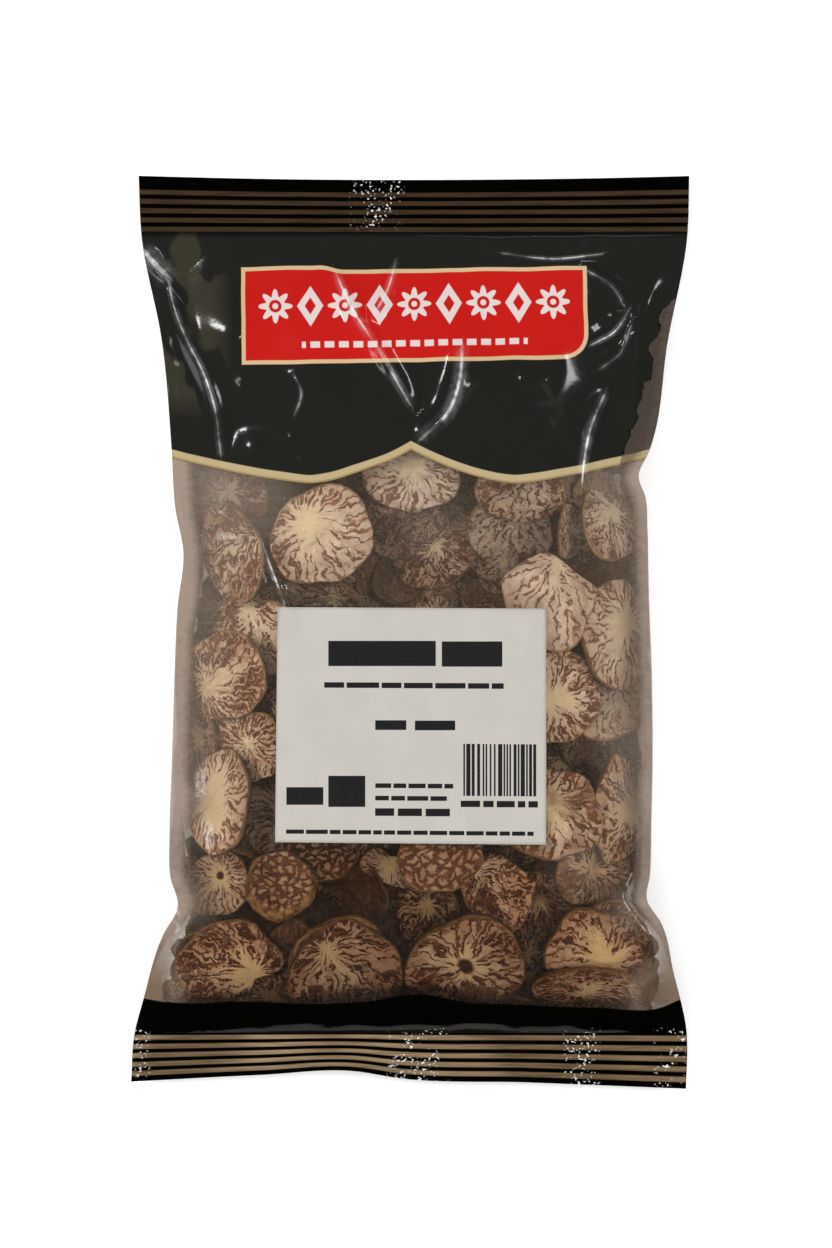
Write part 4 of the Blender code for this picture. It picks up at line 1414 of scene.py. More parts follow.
class ShapeTree(NodeSketch):
    """Builds a Geometry Nodes tree and turns what it makes into a plain mesh."""

    def __init__(self, name: str) -> None:
        """Starts a tree with a geometry input and output."""
        super().__init__(bpy.data.node_groups.new(name, "GeometryNodeTree"))
        self.tree.interface.new_socket("Points", in_out="INPUT", socket_type="NodeSocketGeometry")
        self.tree.interface.new_socket("Mesh", in_out="OUTPUT", socket_type="NodeSocketGeometry")
        self.start = self.tree.nodes.new("NodeGroupInput")
        self.end = self.tree.nodes.new("NodeGroupOutput")
        self.settings: dict[str, Any] = {}

    def setting(self, name: str, kind: str, value: Any) -> Socket:
        """Adds a named input to the tree and says what the modifier sets it to."""
        item = self.tree.interface.new_socket(name, in_out="INPUT", socket_type=kind)
        self.settings[item.identifier] = value
        return self.start.outputs[name]

    def stored(self, name: str, kind: str) -> Socket:
        """Reads a named attribute of the points."""
        return self.node("GeometryNodeInputNamedAttribute", {"Name": name}, data_type=kind).outputs[0]

    def scatter(self, instance: Socket, more: dict[str, Any] | None = None) -> Socket:
        """Sets an instance on each point, at the point's stored size, and makes them all real."""
        inputs = {"Points": self.start.outputs["Points"], "Instance": instance}
        inputs["Scale"] = self.stored("size", "FLOAT_VECTOR")
        placed = self.node("GeometryNodeInstanceOnPoints", inputs | (more or {}))
        return self.node("GeometryNodeRealizeInstances", {0: placed.outputs[0]}).outputs[0]

    def make(self, holder: Object, name: str, geometry: Socket, finish: Material) -> Object:
        """Evaluates the tree on the holder's points.

        Args:
            holder: the object with the points, which is removed.
            name: the new object's name.
            geometry: the tree's last geometry.
            finish: the material that all of it wears.

        Returns:
            An object with the made mesh and no modifier.
        """
        coat = self.setting("Finish", "NodeSocketMaterial", finish)
        dressed = self.node("GeometryNodeSetMaterial", {"Geometry": geometry, "Material": coat})
        self.tree.links.new(dressed.outputs[0], self.end.inputs[0])
        modifier = holder.modifiers.new(name, "NODES")
        modifier.node_group = self.tree
        for identifier, value in self.settings.items():
            modifier[identifier] = value
        depsgraph = bpy.context.evaluated_depsgraph_get()
        mesh = bpy.data.meshes.new_from_object(
            holder.evaluated_get(depsgraph), preserve_all_data_layers=True, depsgraph=depsgraph
        )
        mesh.name = name
        made = link(bpy.data.objects.new(name, mesh))
        bpy.data.objects.remove(holder)
        return made


# The pieces


@dataclass
class NutHeap:
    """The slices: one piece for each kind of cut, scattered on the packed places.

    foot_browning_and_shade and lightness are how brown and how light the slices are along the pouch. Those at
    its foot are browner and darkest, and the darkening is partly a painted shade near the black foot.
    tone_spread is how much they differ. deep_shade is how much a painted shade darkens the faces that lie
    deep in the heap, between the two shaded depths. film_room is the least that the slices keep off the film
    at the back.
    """

    stack: ChipStack
    cutter: ChipCutter = field(default_factory=ChipCutter)
    foot_browning_and_shade: Points = ((-95.0, 1.0), (-62.0, 0.9), (-45.0, 0.5), (-10.0, 0.25), (40.0, 0.0))
    lightness: Points = ((-95.0, 1.08), (-55.0, 1.18), (-20.0, 1.34), (40.0, 1.34))
    deep_shade: float = 0.55
    shaded_depths: tuple[float, float] = (8.5, 16.0)
    tone_spread: tuple[float, float] = (0.94, 1.12)
    film_room: float = 0.2
    seed: int = 23

    def shapes(self) -> bpy.types.Collection:
        """A collection with one hidden mesh for each Shape, in order."""
        holder = bpy.data.collections.new("slice_shapes")
        for shape in Shape:
            points, faces, cut, rim = self.cutter.build(shape)
            made = mesh_object(f"slice_{shape.value:02d}", points / MM, faces)
            bpy.context.scene.collection.objects.unlink(made)
            add_attribute(made.data, "cut", "FLOAT_VECTOR", cut)
            add_attribute(made.data, "rim", "FLOAT", rim)
            holder.objects.link(made)
        return holder

    def tops(self) -> Array:
        """The height of the highest slice over each cell of the relief, or far below where there is none."""
        relief = self.stack.relief
        heights = np.full(relief.x.shape, FAR_BELOW)
        built = {shape: self.cutter.build(shape)[0] for shape in Shape}
        for chip in self.stack.chips:
            sized = built[chip.shape] * (chip.radius, chip.radius * chip.aspect, chip.radius)
            turned = sized @ np.array(chip.matrix()).T
            row, column = relief.cell(turned[:, 0] + chip.x, turned[:, 1] + chip.y)
            for dj in (0, 1):
                for di in (0, 1):
                    place = (row.astype(int) + dj, column.astype(int) + di)
                    np.maximum.at(heights, place, turned[:, 2] + chip.z)
        return heights

    def shades(self, places: Array) -> tuple[Array, Array]:
        """How light the upper and the lower face of slices at some places are: a painted shade darkens the
        faces that lie deep in the heap, between the two shaded depths.
        """
        x, y, z = places.T
        depths = (self.stack.form.pillow(x, y) - z, z - self.stack.form.back(x, y))
        return tuple(1 - self.deep_shade * smooth_step(*self.shaded_depths, depth) for depth in depths)

    def scatter(self, name: str, chips: list[Chip], shapes: bpy.types.Collection,
                finish: Material) -> Object:
        """Sets a shape on each slice's place and turns, sizes and joins them.

        Args:
            name: the piece's name.
            chips: the slices that it has.
            shapes: the hidden meshes to pick from.
            finish: the material of all of them.

        Returns:
            The piece.
        """
        rng = np.random.default_rng(self.seed)
        places = np.array([(c.x, c.y, c.z) for c in chips])
        seeds = rng.uniform(0, 1, len(chips))
        tones = np.array([c.tone for c in chips]) * rng.uniform(*self.tone_spread, len(chips))
        # Darker towards the foot: partly a painted shade near the black foot.
        tones *= smooth_curve(self.lightness, places[:, 1])
        sizes = np.array([(c.radius, c.radius * c.aspect, c.radius) for c in chips]) * MM
        # Painted shade: each face is darkened by how deep it lies, the upper face by its depth under the
        # front film and the lower face by its height over the back.
        upper, lower = self.shades(places)
        # Browner and darker towards the foot; the darkening is partly a painted shade.
        foot_brown_and_shade = smooth_curve(self.foot_browning_and_shade, places[:, 1])
        points = mesh_object(f"{name}_places", places, [])
        for key, kind, values in (
            ("shape", "INT", np.array([c.shape.value for c in chips], np.int32)),
            ("turned", "FLOAT_VECTOR", [c.matrix().to_euler()[:] for c in chips]),
            ("size", "FLOAT_VECTOR", sizes),
            ("seed", "FLOAT", seeds),
            ("heart", "FLOAT_VECTOR", [(*c.heart, c.heart_size) for c in chips]),
            ("look", "FLOAT_VECTOR", [c.cut.value for c in chips]),
            ("hollow", "FLOAT", [c.hollow for c in chips]),
            ("tone", "FLOAT_VECTOR", np.column_stack([tones * upper, foot_brown_and_shade, tones * lower])),
        ):
            add_attribute(points.data, key, kind, values)
        tree = ShapeTree(f"{name}_tree")
        kinds = tree.setting("Shapes", "NodeSocketCollection", shapes)
        picked = tree.node(
            "GeometryNodeCollectionInfo",
            {"Collection": kinds, "Separate Children": True, "Reset Children": True},
        )
        turned = tree.node("FunctionNodeEulerToRotation", {0: tree.stored("turned", "FLOAT_VECTOR")})
        index = tree.stored("shape", "INT")
        pick = {"Pick Instance": True, "Instance Index": index, "Rotation": turned.outputs[0]}
        return tree.make(points, name, tree.scatter(picked.outputs[0], pick), finish)

    def press(self, mesh: bpy.types.Mesh) -> None:
        """Presses what bends out through the pouch's back or sides flat against the film."""
        places = np.empty(len(mesh.vertices) * 3)
        mesh.vertices.foreach_get("co", places)
        at = places.reshape(-1, 3) / MM
        form = self.stack.form
        left, right = form.edges(at[:, 1])
        at[:, 0] = np.clip(at[:, 0], left + 2 * self.film_room, right - 2 * self.film_room)
        at[:, 2] = np.maximum(at[:, 2], form.back(at[:, 0], at[:, 1]) + self.film_room)
        mesh.vertices.foreach_set("co", (at * MM).ravel())
        mesh.update()

    def build(self) -> list[Object]:
        """Makes the pieces and seats them in the pouch."""
        shapes = self.shapes()
        finish = NutFinish().material()
        groups = {
            "radial_slices": (Cut.RADIAL, Cut.PALE),
            "streaked_slices": (Cut.STREAKED, Cut.MARBLED),
            "netted_slices": (Cut.NET, Cut.OLIVE),
            "skin_slices": (Cut.SKIN, Cut.AMBER),
        }
        pieces = []
        for name, cuts in groups.items():
            chips = [c for c in self.stack.chips if c.cut in cuts]
            piece = self.scatter(name, chips, shapes, finish)
            self.press(piece.data)
            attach(piece, "root")
            log.info("%s: %d slices, %d faces", name, len(chips), len(piece.data.polygons))
            pieces.append(piece)
        for made in list(shapes.objects):
            bpy.data.objects.remove(made)
        return pieces


@dataclass(frozen=True)
class Crease:
    """A ridge in the film along a smooth line: its height, its half width, and the strength and half width of
    the painted highlight along it, which is partly whitened film.
    """

    points: Points
    height: float
    width: float
    worn_and_highlighted: float = 0.0
    highlight_width: float = 0.5

    def route(self, spacing: float = 0.8) -> Points:
        """Points close together along the smooth line."""
        steps = [math.dist(a, b) for a, b in zip(self.points, self.points[1:])]
        along = np.concatenate([[0.0], np.cumsum(steps)])
        at = np.linspace(0, along[-1], max(3, int(along[-1] / spacing)))
        parts = (smooth_curve(list(zip(along, values)), at) for values in zip(*self.points))
        return [(float(x), float(y)) for x, y in zip(*parts)]

    def fade(self, x: Array, y: Array) -> Array:
        """1 beside the line's middle, falling to 0 past its ends."""
        (ax, ay), (bx, by) = self.points[0], self.points[-1]
        length = math.hypot(bx - ax, by - ay)
        share = ((x - ax) * (bx - ax) + (y - ay) * (by - ay)) / length**2
        return smooth_step(-0.12, 0.22, share) * smooth_step(1.12, 0.78, share)


@dataclass(frozen=True)
class Dent:
    """A round push in the film, inwards where its height is below 0, or a milky spot on it."""

    x: float
    y: float
    reach: float
    height: float


@dataclass
class Film:
    """The pouch's film as one closed shell over the slices.

    slack is how far the film would sag between slices, pull how strongly each of its smoothing passes
    draws it back to that, stiff how many cells it stands off round a high point, and soften how many
    last passes round its bends. film_gap is how far it lies off the slices, and loose_room how far
    they stay below it in the upper part, past where it loosens. The label presses it down by
    label_sag, and it evens out over seal_blend beside the seals. The print ends are where the header's
    print stops on the right, by y, and where the foot's print begins, by x.
    """

    form: PouchForm
    relief: Relief
    slack: float = 1.3
    pull: float = 0.012
    passes: int = 900
    stiff: int = 2
    soften: int = 12
    film_gap: float = 0.30
    front_columns: int = 226
    back_columns: int = 56
    body_step: float = 0.74
    seal_step: float = 0.31
    seal_blend: float = 3.0
    label_box: tuple[float, float, float, float] = (-32.2, 32.4, -50.6, 6.0)
    label_reach: float = 6.0
    label_fade: float = 5.0
    label_sag: float = 1.1
    loose_room: float = 1.6
    loosens: tuple[float, float] = (40.0, 52.0)
    back_haze_width: float = 5.0
    back_haze: float = 0.7
    right_print_end: Points = (
        (109.4, 70), (84, 70), (80, 63.3), (76.3, 59.6), (71.3, 59.4), (68, 57.1), (64.3, 58.4),
        (61, 56.5), (55.6, 54.8), (50.7, 53.8), (43.2, 51.3), (39, 49.6), (34.6, 48.8),
    )
    foot_print_end: Points = (
        (-66, -87.3), (-60, -88.3), (-52.9, -88.8), (-43, -88.3), (-20, -88.8), (-10, -88.2),
        (2.4, -86.5), (14, -88.5), (25, -89), (45, -89.8), (60, -89.8), (64.5, -88),
    )
    # A crease's last two numbers are the strength and half width of a painted highlight along it, which is
    # partly whitened film.
    creases: tuple[Crease, ...] = (
        Crease(((-64, 91.5), (-60.5, 87.5), (-57.4, 84.3)), 1.2, 1.6, 0.8, 0.9),
        Crease(((-58.4, 86.3), (-56, 76.2), (-52.9, 68.9), (-49.3, 61.7), (-46.9, 54.5), (-45.2, 42.5)),
               1.7, 2.2, 0.95, 0.32),
        Crease(((-17.8, 86), (-14.5, 78.5), (-8.5, 68.9), (-0.1, 54.5)), 1.3, 2, 0.85, 0.40),
        Crease(((-3.5, 88.6), (-5.4, 82), (-9.5, 74.6)), 1, 1.7, 0.5, 0.35),
        Crease(((12.4, 68.7), (11.9, 60.9), (8.9, 52.3), (2.5, 46)), 1.5, 2.3, 0.75, 0.62),
        Crease(((46.3, 56.7), (43, 48.5), (41.5, 41), (40.9, 34.3)), 1.5, 1.9, 1, 0.42),
        Crease(((42.1, 86.7), (47.9, 83.1), (51.5, 77.5)), 1.2, 1.5, 0.7, 0.28),
        Crease(((43, 68.5), (49, 72), (52.5, 77.5)), 1.1, 1.4, 0.8, 0.28),
        Crease(((52.8, 73.3), (50, 66.5), (45.5, 63)), 1, 1.4, 0.8, 0.28),
        Crease(((22, 90.7), (34, 89.4), (46, 90.6)), 0.6, 1.2, 0.7, 0.2),
        Crease(((-38, 88.5), (-30, 91), (-20, 90)), 0.5, 1.3),
        Crease(((-28, 62), (-26, 57), (-27.5, 52)), 0.7, 1.6, 0.5, 0.22),
        Crease(((-39.5, 74), (-41, 66), (-39, 58)), 0.9, 2.6),
        Crease(((24.5, 63), (31, 60.5), (36, 64)), 0.9, 2.4),
        Crease(((58, 84), (54.5, 70), (53, 54)), 1.3, 2.6),
        Crease(((-36.2, 24.5), (-33.2, 15.5), (-30.4, 8.1), (-27.2, -0.7)), 1.1, 1.6, 0.85, 0.42),
        Crease(((-57.4, -58.5), (-56.7, -63.9), (-55.2, -67.9)), 1.2, 1.3, 0.7, 0.3),
        Crease(((52.3, -58.5), (50.8, -63.1), (53.6, -67.9), (57.2, -72.5)), 1.2, 1.3, 0.7, 0.3),
        Crease(((66, -84), (63.5, -77), (58.8, -69.5)), 1, 1.6),
        Crease(((-65.5, -84), (-62, -77), (-57.8, -70.5)), 1, 1.6),
    )
    dents: tuple[Dent, ...] = (
        Dent(4, 58, 8, -2), Dent(-30, 56, 11, 0.6), Dent(28, 53, 9, 1.1),
        Dent(-52, 80, 5, -0.4), Dent(52, 84, 6, -0.7), Dent(-58.5, 62, 6, -1.5),
        Dent(58, 62, 6, -1.2), Dent(46.5, 76, 2.6, 0.6), Dent(42.8, 73, 2.4, 0.6),
        Dent(-8, 84, 3.4, -0.6), Dent(-28.6, 46, 1.2, 0.35), Dent(-25.7, 41, 1.1, 0.3),
        Dent(32.3, 59.3, 2, 0.5), Dent(18.5, 56, 6.5, 1), Dent(24, 70, 8, -0.8),
        Dent(-38.5, 45, 4.5, 0.8),
    )
    milky_spots: tuple[Dent, ...] = (
        Dent(-46, 35, 10, 0.40), Dent(-35, 31, 7, 0.18), Dent(50, 35, 6, 0.34),
        Dent(52, -24, 7, 0.16), Dent(-53, -64, 6, 0.16), Dent(54, -66, 6, 0.20),
        Dent(5, 26, 8, 0.08), Dent(41, -56, 7, 0.10), Dent(-53, -40, 5, 0.45),
        Dent(-53, 8, 5, 0.35), Dent(54, -39, 5, 0.30), Dent(60, -87, 6, 0.60),
        Dent(-61, -86, 5, 0.50),
    )

    def under_label(self, x: Any, y: Any) -> Array:
        """1 under the label, fading to 0 past its edges."""
        left, right, foot, head = self.label_box
        out_x = np.maximum(np.maximum(left - x, x - right), 0)
        out_y = np.maximum(np.maximum(foot - y, y - head), 0)
        return smooth_step(0, 1, (self.label_reach - np.hypot(out_x, out_y)) / self.label_fade)

    def taut(self) -> Array:
        """The highest that the slices may reach: the pillow, pressed down a little by the label and dents."""
        x, y = self.relief.x, self.relief.y
        pressed = self.label_sag * self.under_label(x, y) + self.loose_room * smooth_step(*self.loosens, y)
        return self.form.pillow(x, y) - pressed + np.minimum(self.crease_rise(x, y), 0)

    def crease_rise(self, x: Array, y: Array) -> Array:
        """The height that the creases and dents add."""
        rise = np.zeros_like(x)
        for crease in self.creases:
            away = signed_distance(crease.route(), x, y) / crease.width
            rise = rise + crease.height * np.exp(-(away**2)) * crease.fade(x, y)
        for dent in self.dents:
            away2 = ((x - dent.x) ** 2 + (y - dent.y) ** 2) / dent.reach**2
            rise = rise + dent.height * np.exp(-away2)
        return rise

    def streaks(self, x: Array, y: Array) -> tuple[Array, Array]:
        """The painted highlight line, partly whitened film, of the nearest crease that has one.

        Returns:
            The signed distance to it, in its own half widths, and how strong its painted highlight is.
        """
        nearest, strength = np.full_like(x, 40.0), np.zeros_like(x)
        for crease in self.creases:
            if crease.worn_and_highlighted:
                away = signed_distance(crease.route(), x, y) / crease.highlight_width
                closer = np.abs(away) < np.abs(nearest)
                nearest = np.where(closer, away, nearest)
                strength = np.where(closer, crease.worn_and_highlighted * crease.fade(x, y), strength)
        return nearest, np.where(np.abs(nearest) < 8, strength, 0)

    def ripples(self, x: Array, y: Array) -> Array:
        """The film's own soft waves, with short puckers running out of both seals."""
        loose = 1.0 + 1.2 * smooth_step(36.0, 52.0, y)
        soft = (0.24 * self.relief.noise(3, 18.0) + 0.05 * self.relief.noise(4, 8.0)) * loose
        pucker = self.relief.noise(6, 5.0)
        line = pucker[pucker.shape[0] // 2][None, :] * np.ones_like(x)
        near_head = np.exp(-np.clip(self.form.header_root - y, 0, None) / 8.0)
        near_foot = np.exp(-np.clip(y - self.form.foot_root, 0, None) / 5.0)
        full = smooth_step(0.0, 0.25, self.form.section(x, y))
        return (soft + 0.30 * line * (near_head + near_foot)) * full

    def heights(self, tops: Array) -> Array:
        """The front film's height over the relief: it rests on the slices and sags between them."""
        x, y = self.relief.x, self.relief.y
        section = self.form.section(x, y)
        pillow = self.form.pillow(x, y)
        sagged = pillow - self.slack * section
        rest = tops
        for _ in range(self.stiff):
            for axis in (0, 1):
                rest = np.maximum(rest, np.maximum(np.roll(rest, 1, axis), np.roll(rest, -1, axis)))
        film = np.maximum(sagged, rest)
        for _ in range(self.passes):
            middle = (film[:-2, 1:-1] + film[2:, 1:-1] + film[1:-1, :-2] + film[1:-1, 2:]) / 4
            film[1:-1, 1:-1] = middle + self.pull * (sagged[1:-1, 1:-1] - middle)
            film = np.maximum(film, rest)
        for _ in range(self.soften):
            film[1:-1, 1:-1] = (film[:-2, 1:-1] + film[2:, 1:-1] + film[1:-1, :-2] + film[1:-1, 2:]) / 4
        film = np.maximum(film, tops)
        held = self.under_label(x, y)
        film = film + self.film_gap + self.ripples(x, y) * (1 - held)
        return film * (1 - held) + self.taut() * held + self.crease_rise(x, y)

    def haze(self, x: Array, y: Array, is_front: bool) -> Array:
        """How milky the film is: most at the sides, where it turns away and folds, more so at the back."""
        left, right = self.form.edges(y)
        from_left, from_right = np.clip(x - left, 0, None), np.clip(right - x, 0, None)
        milk = 0.02 + 0.05 * smooth_step(-50.0, 30.0, y)
        wide = 0.0 if is_front else self.back_haze_width
        milk += 0.88 * smooth_step(5.6 + wide, 1.6 + wide, from_left)
        milk += 0.84 * smooth_step(4.4 + wide, 1.0 + wide, from_right)
        broad = 0.22 * np.exp(-((from_left / 13.0) ** 2)) + 0.14 * np.exp(-((from_right / 10.0) ** 2))
        milk += broad * smooth_step(-80.0, -20.0, y)
        for spot in self.milky_spots:
            milk += spot.height * np.exp(-((x - spot.x) ** 2 + (y - spot.y) ** 2) / spot.reach**2)
        return milk if is_front else milk * self.back_haze

    def rows(self) -> Array:
        """The rows' places along the pouch, close together in the seals."""
        form = self.form
        head = np.arange(form.header_tip, form.header_root, -self.seal_step)
        count = int((form.header_root - form.foot_root) / self.body_step) + 1
        body = np.linspace(form.header_root, form.foot_root, count)
        foot = np.arange(form.foot_root - self.seal_step, form.foot_tip, -self.seal_step)
        return np.concatenate([head, body, foot, [form.foot_tip]])

    def grid(self, along: Array, columns: int) -> tuple[Array, Array]:
        """The places of one face's points: rows along the pouch, closer together near its sides."""
        t = np.linspace(-1, 1, columns + 1)
        across = 0.6 * t + 0.4 * np.sin(t * math.pi / 2)
        left, right = self.form.edges(along)
        x = left[:, None] + (across[None, :] + 1) / 2 * (right - left)[:, None]
        return x, np.repeat(along[:, None], columns + 1, axis=1)

    def seal_place(self, y: Array) -> tuple[Array, Array]:
        """Whether a place is on the crimps, and which crimp it is nearest to, in crimps."""
        form = self.form
        into = np.maximum(y - form.header_root, form.foot_root - y)
        phase = (into - form.crimp_margin) / form.crimp_pitch
        begun = smooth_step(-0.5, -0.3, phase)
        left = smooth_step(form.crimp_count - 0.4, form.crimp_count - 0.6, phase)
        return begun * left, phase

    def height(self, x: Array, y: Array, is_front: bool, tops: Array) -> Array:
        """The height of one face of the shell, whose front meets the seals without a step."""
        form = self.form
        side, half = form.side(y), form.seal_thickness / 2
        in_seal = (y > form.header_root) | (y < form.foot_root)
        if not is_front:
            return np.where(in_seal, side - half, form.back(x, y))
        lying = np.maximum(self.relief.read(self.heights(tops), x, y), side) + half
        at_head = smooth_step(form.header_root - self.seal_blend, form.header_root, y)
        at_foot = smooth_step(form.foot_root + self.seal_blend, form.foot_root, y)
        near = np.maximum(at_head, at_foot)
        even = np.minimum(lying, form.pillow(x, y) + half + 0.2)
        return np.where(in_seal, side + half, lying * (1 - near) + even * near)

    def face(self, is_front: bool, columns: int, tops: Array) -> tuple[Array, Array]:
        """One face of the shell, as grids with a place and with the eight numbers that its finish reads."""
        form = self.form
        x, y = self.grid(self.rows(), columns)
        shift_y, shift_z = form.seal_shift(x, y)
        z = np.maximum(self.height(x, y, is_front, tops) + shift_z + form.crimp(y), 0)
        on, phase = self.seal_place(y)
        margin = np.clip(smooth_curve(self.right_print_end, y) - x, -9, 9)
        foot = smooth_curve(self.foot_print_end, x) - y
        # The painted crease highlights, partly whitened film, on the front only.
        away, worn_and_highlighted = self.streaks(x, y)
        front, haze = np.full_like(x, is_front), self.haze(x, y, is_front)
        looks = [front, haze, on, phase, margin, foot, np.clip(away, -40, 40), worn_and_highlighted * is_front]
        return np.stack([x, y + shift_y, z], axis=2), np.stack(looks, axis=2)

    def build(self, tops: Array) -> Object:
        """Makes the shell: at each row the front goes one way across and the back the other.

        Args:
            tops: the slices' highest points over the relief.

        Returns:
            The film's object.
        """
        front, front_look = self.face(True, self.front_columns, tops)
        back, back_look = self.face(False, self.back_columns, tops)
        ring = np.concatenate([front, back[:, ::-1]], axis=1)
        look = np.concatenate([front_look, back_look[:, ::-1]], axis=1).reshape(-1, 8)
        rings, count = ring.shape[:2]
        number = np.arange(rings * count).reshape(rings, count)
        ahead = np.roll(number, -1, axis=1)
        walls = np.stack([number[:-1], number[1:], ahead[1:], ahead[:-1]], axis=2).reshape(-1, 4)
        made = mesh_object("film", ring.reshape(-1, 3), [*walls.tolist(), *self.caps(number)])
        for name, values in zip(("front", "haze"), look[:, :2].T):
            add_attribute(made.data, name, "FLOAT", values)
        for name, first in (("seal", 2), ("print", 4), ("streak", 6)):
            pair = look[:, first:first + 2]
            add_attribute(made.data, name, "FLOAT_VECTOR", np.column_stack([pair, 0 * pair[:, 0]]))
        made.data.materials.append(FilmFinish().material())
        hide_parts("pouch")
        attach(made, "root")
        log.info("film: %d faces", len(made.data.polygons))
        return made

    def caps(self, number: Array) -> list[list[int]]:
        """The faces that close the shell at both tips, between its front and its back columns."""
        caps = []
        for row, turned in ((number[0], False), (number[-1], True)):
            front = row[: self.front_columns + 1]
            back = row[self.front_columns + 1:][::-1]
            opposite = np.round(np.linspace(0, self.back_columns, self.front_columns + 1)).astype(int)
            for i in range(self.front_columns):
                near, far = opposite[i], opposite[i + 1]
                face = [front[i], front[i + 1], back[far]] + ([back[near]] if near != far else [])
                caps.append(face[::-1] if turned else face)
        return caps


@dataclass
class Bar:
    """One printed bar of the label, in millimetres from the label's lower left corner."""

    x: float
    y: float
    width: float
    height: float


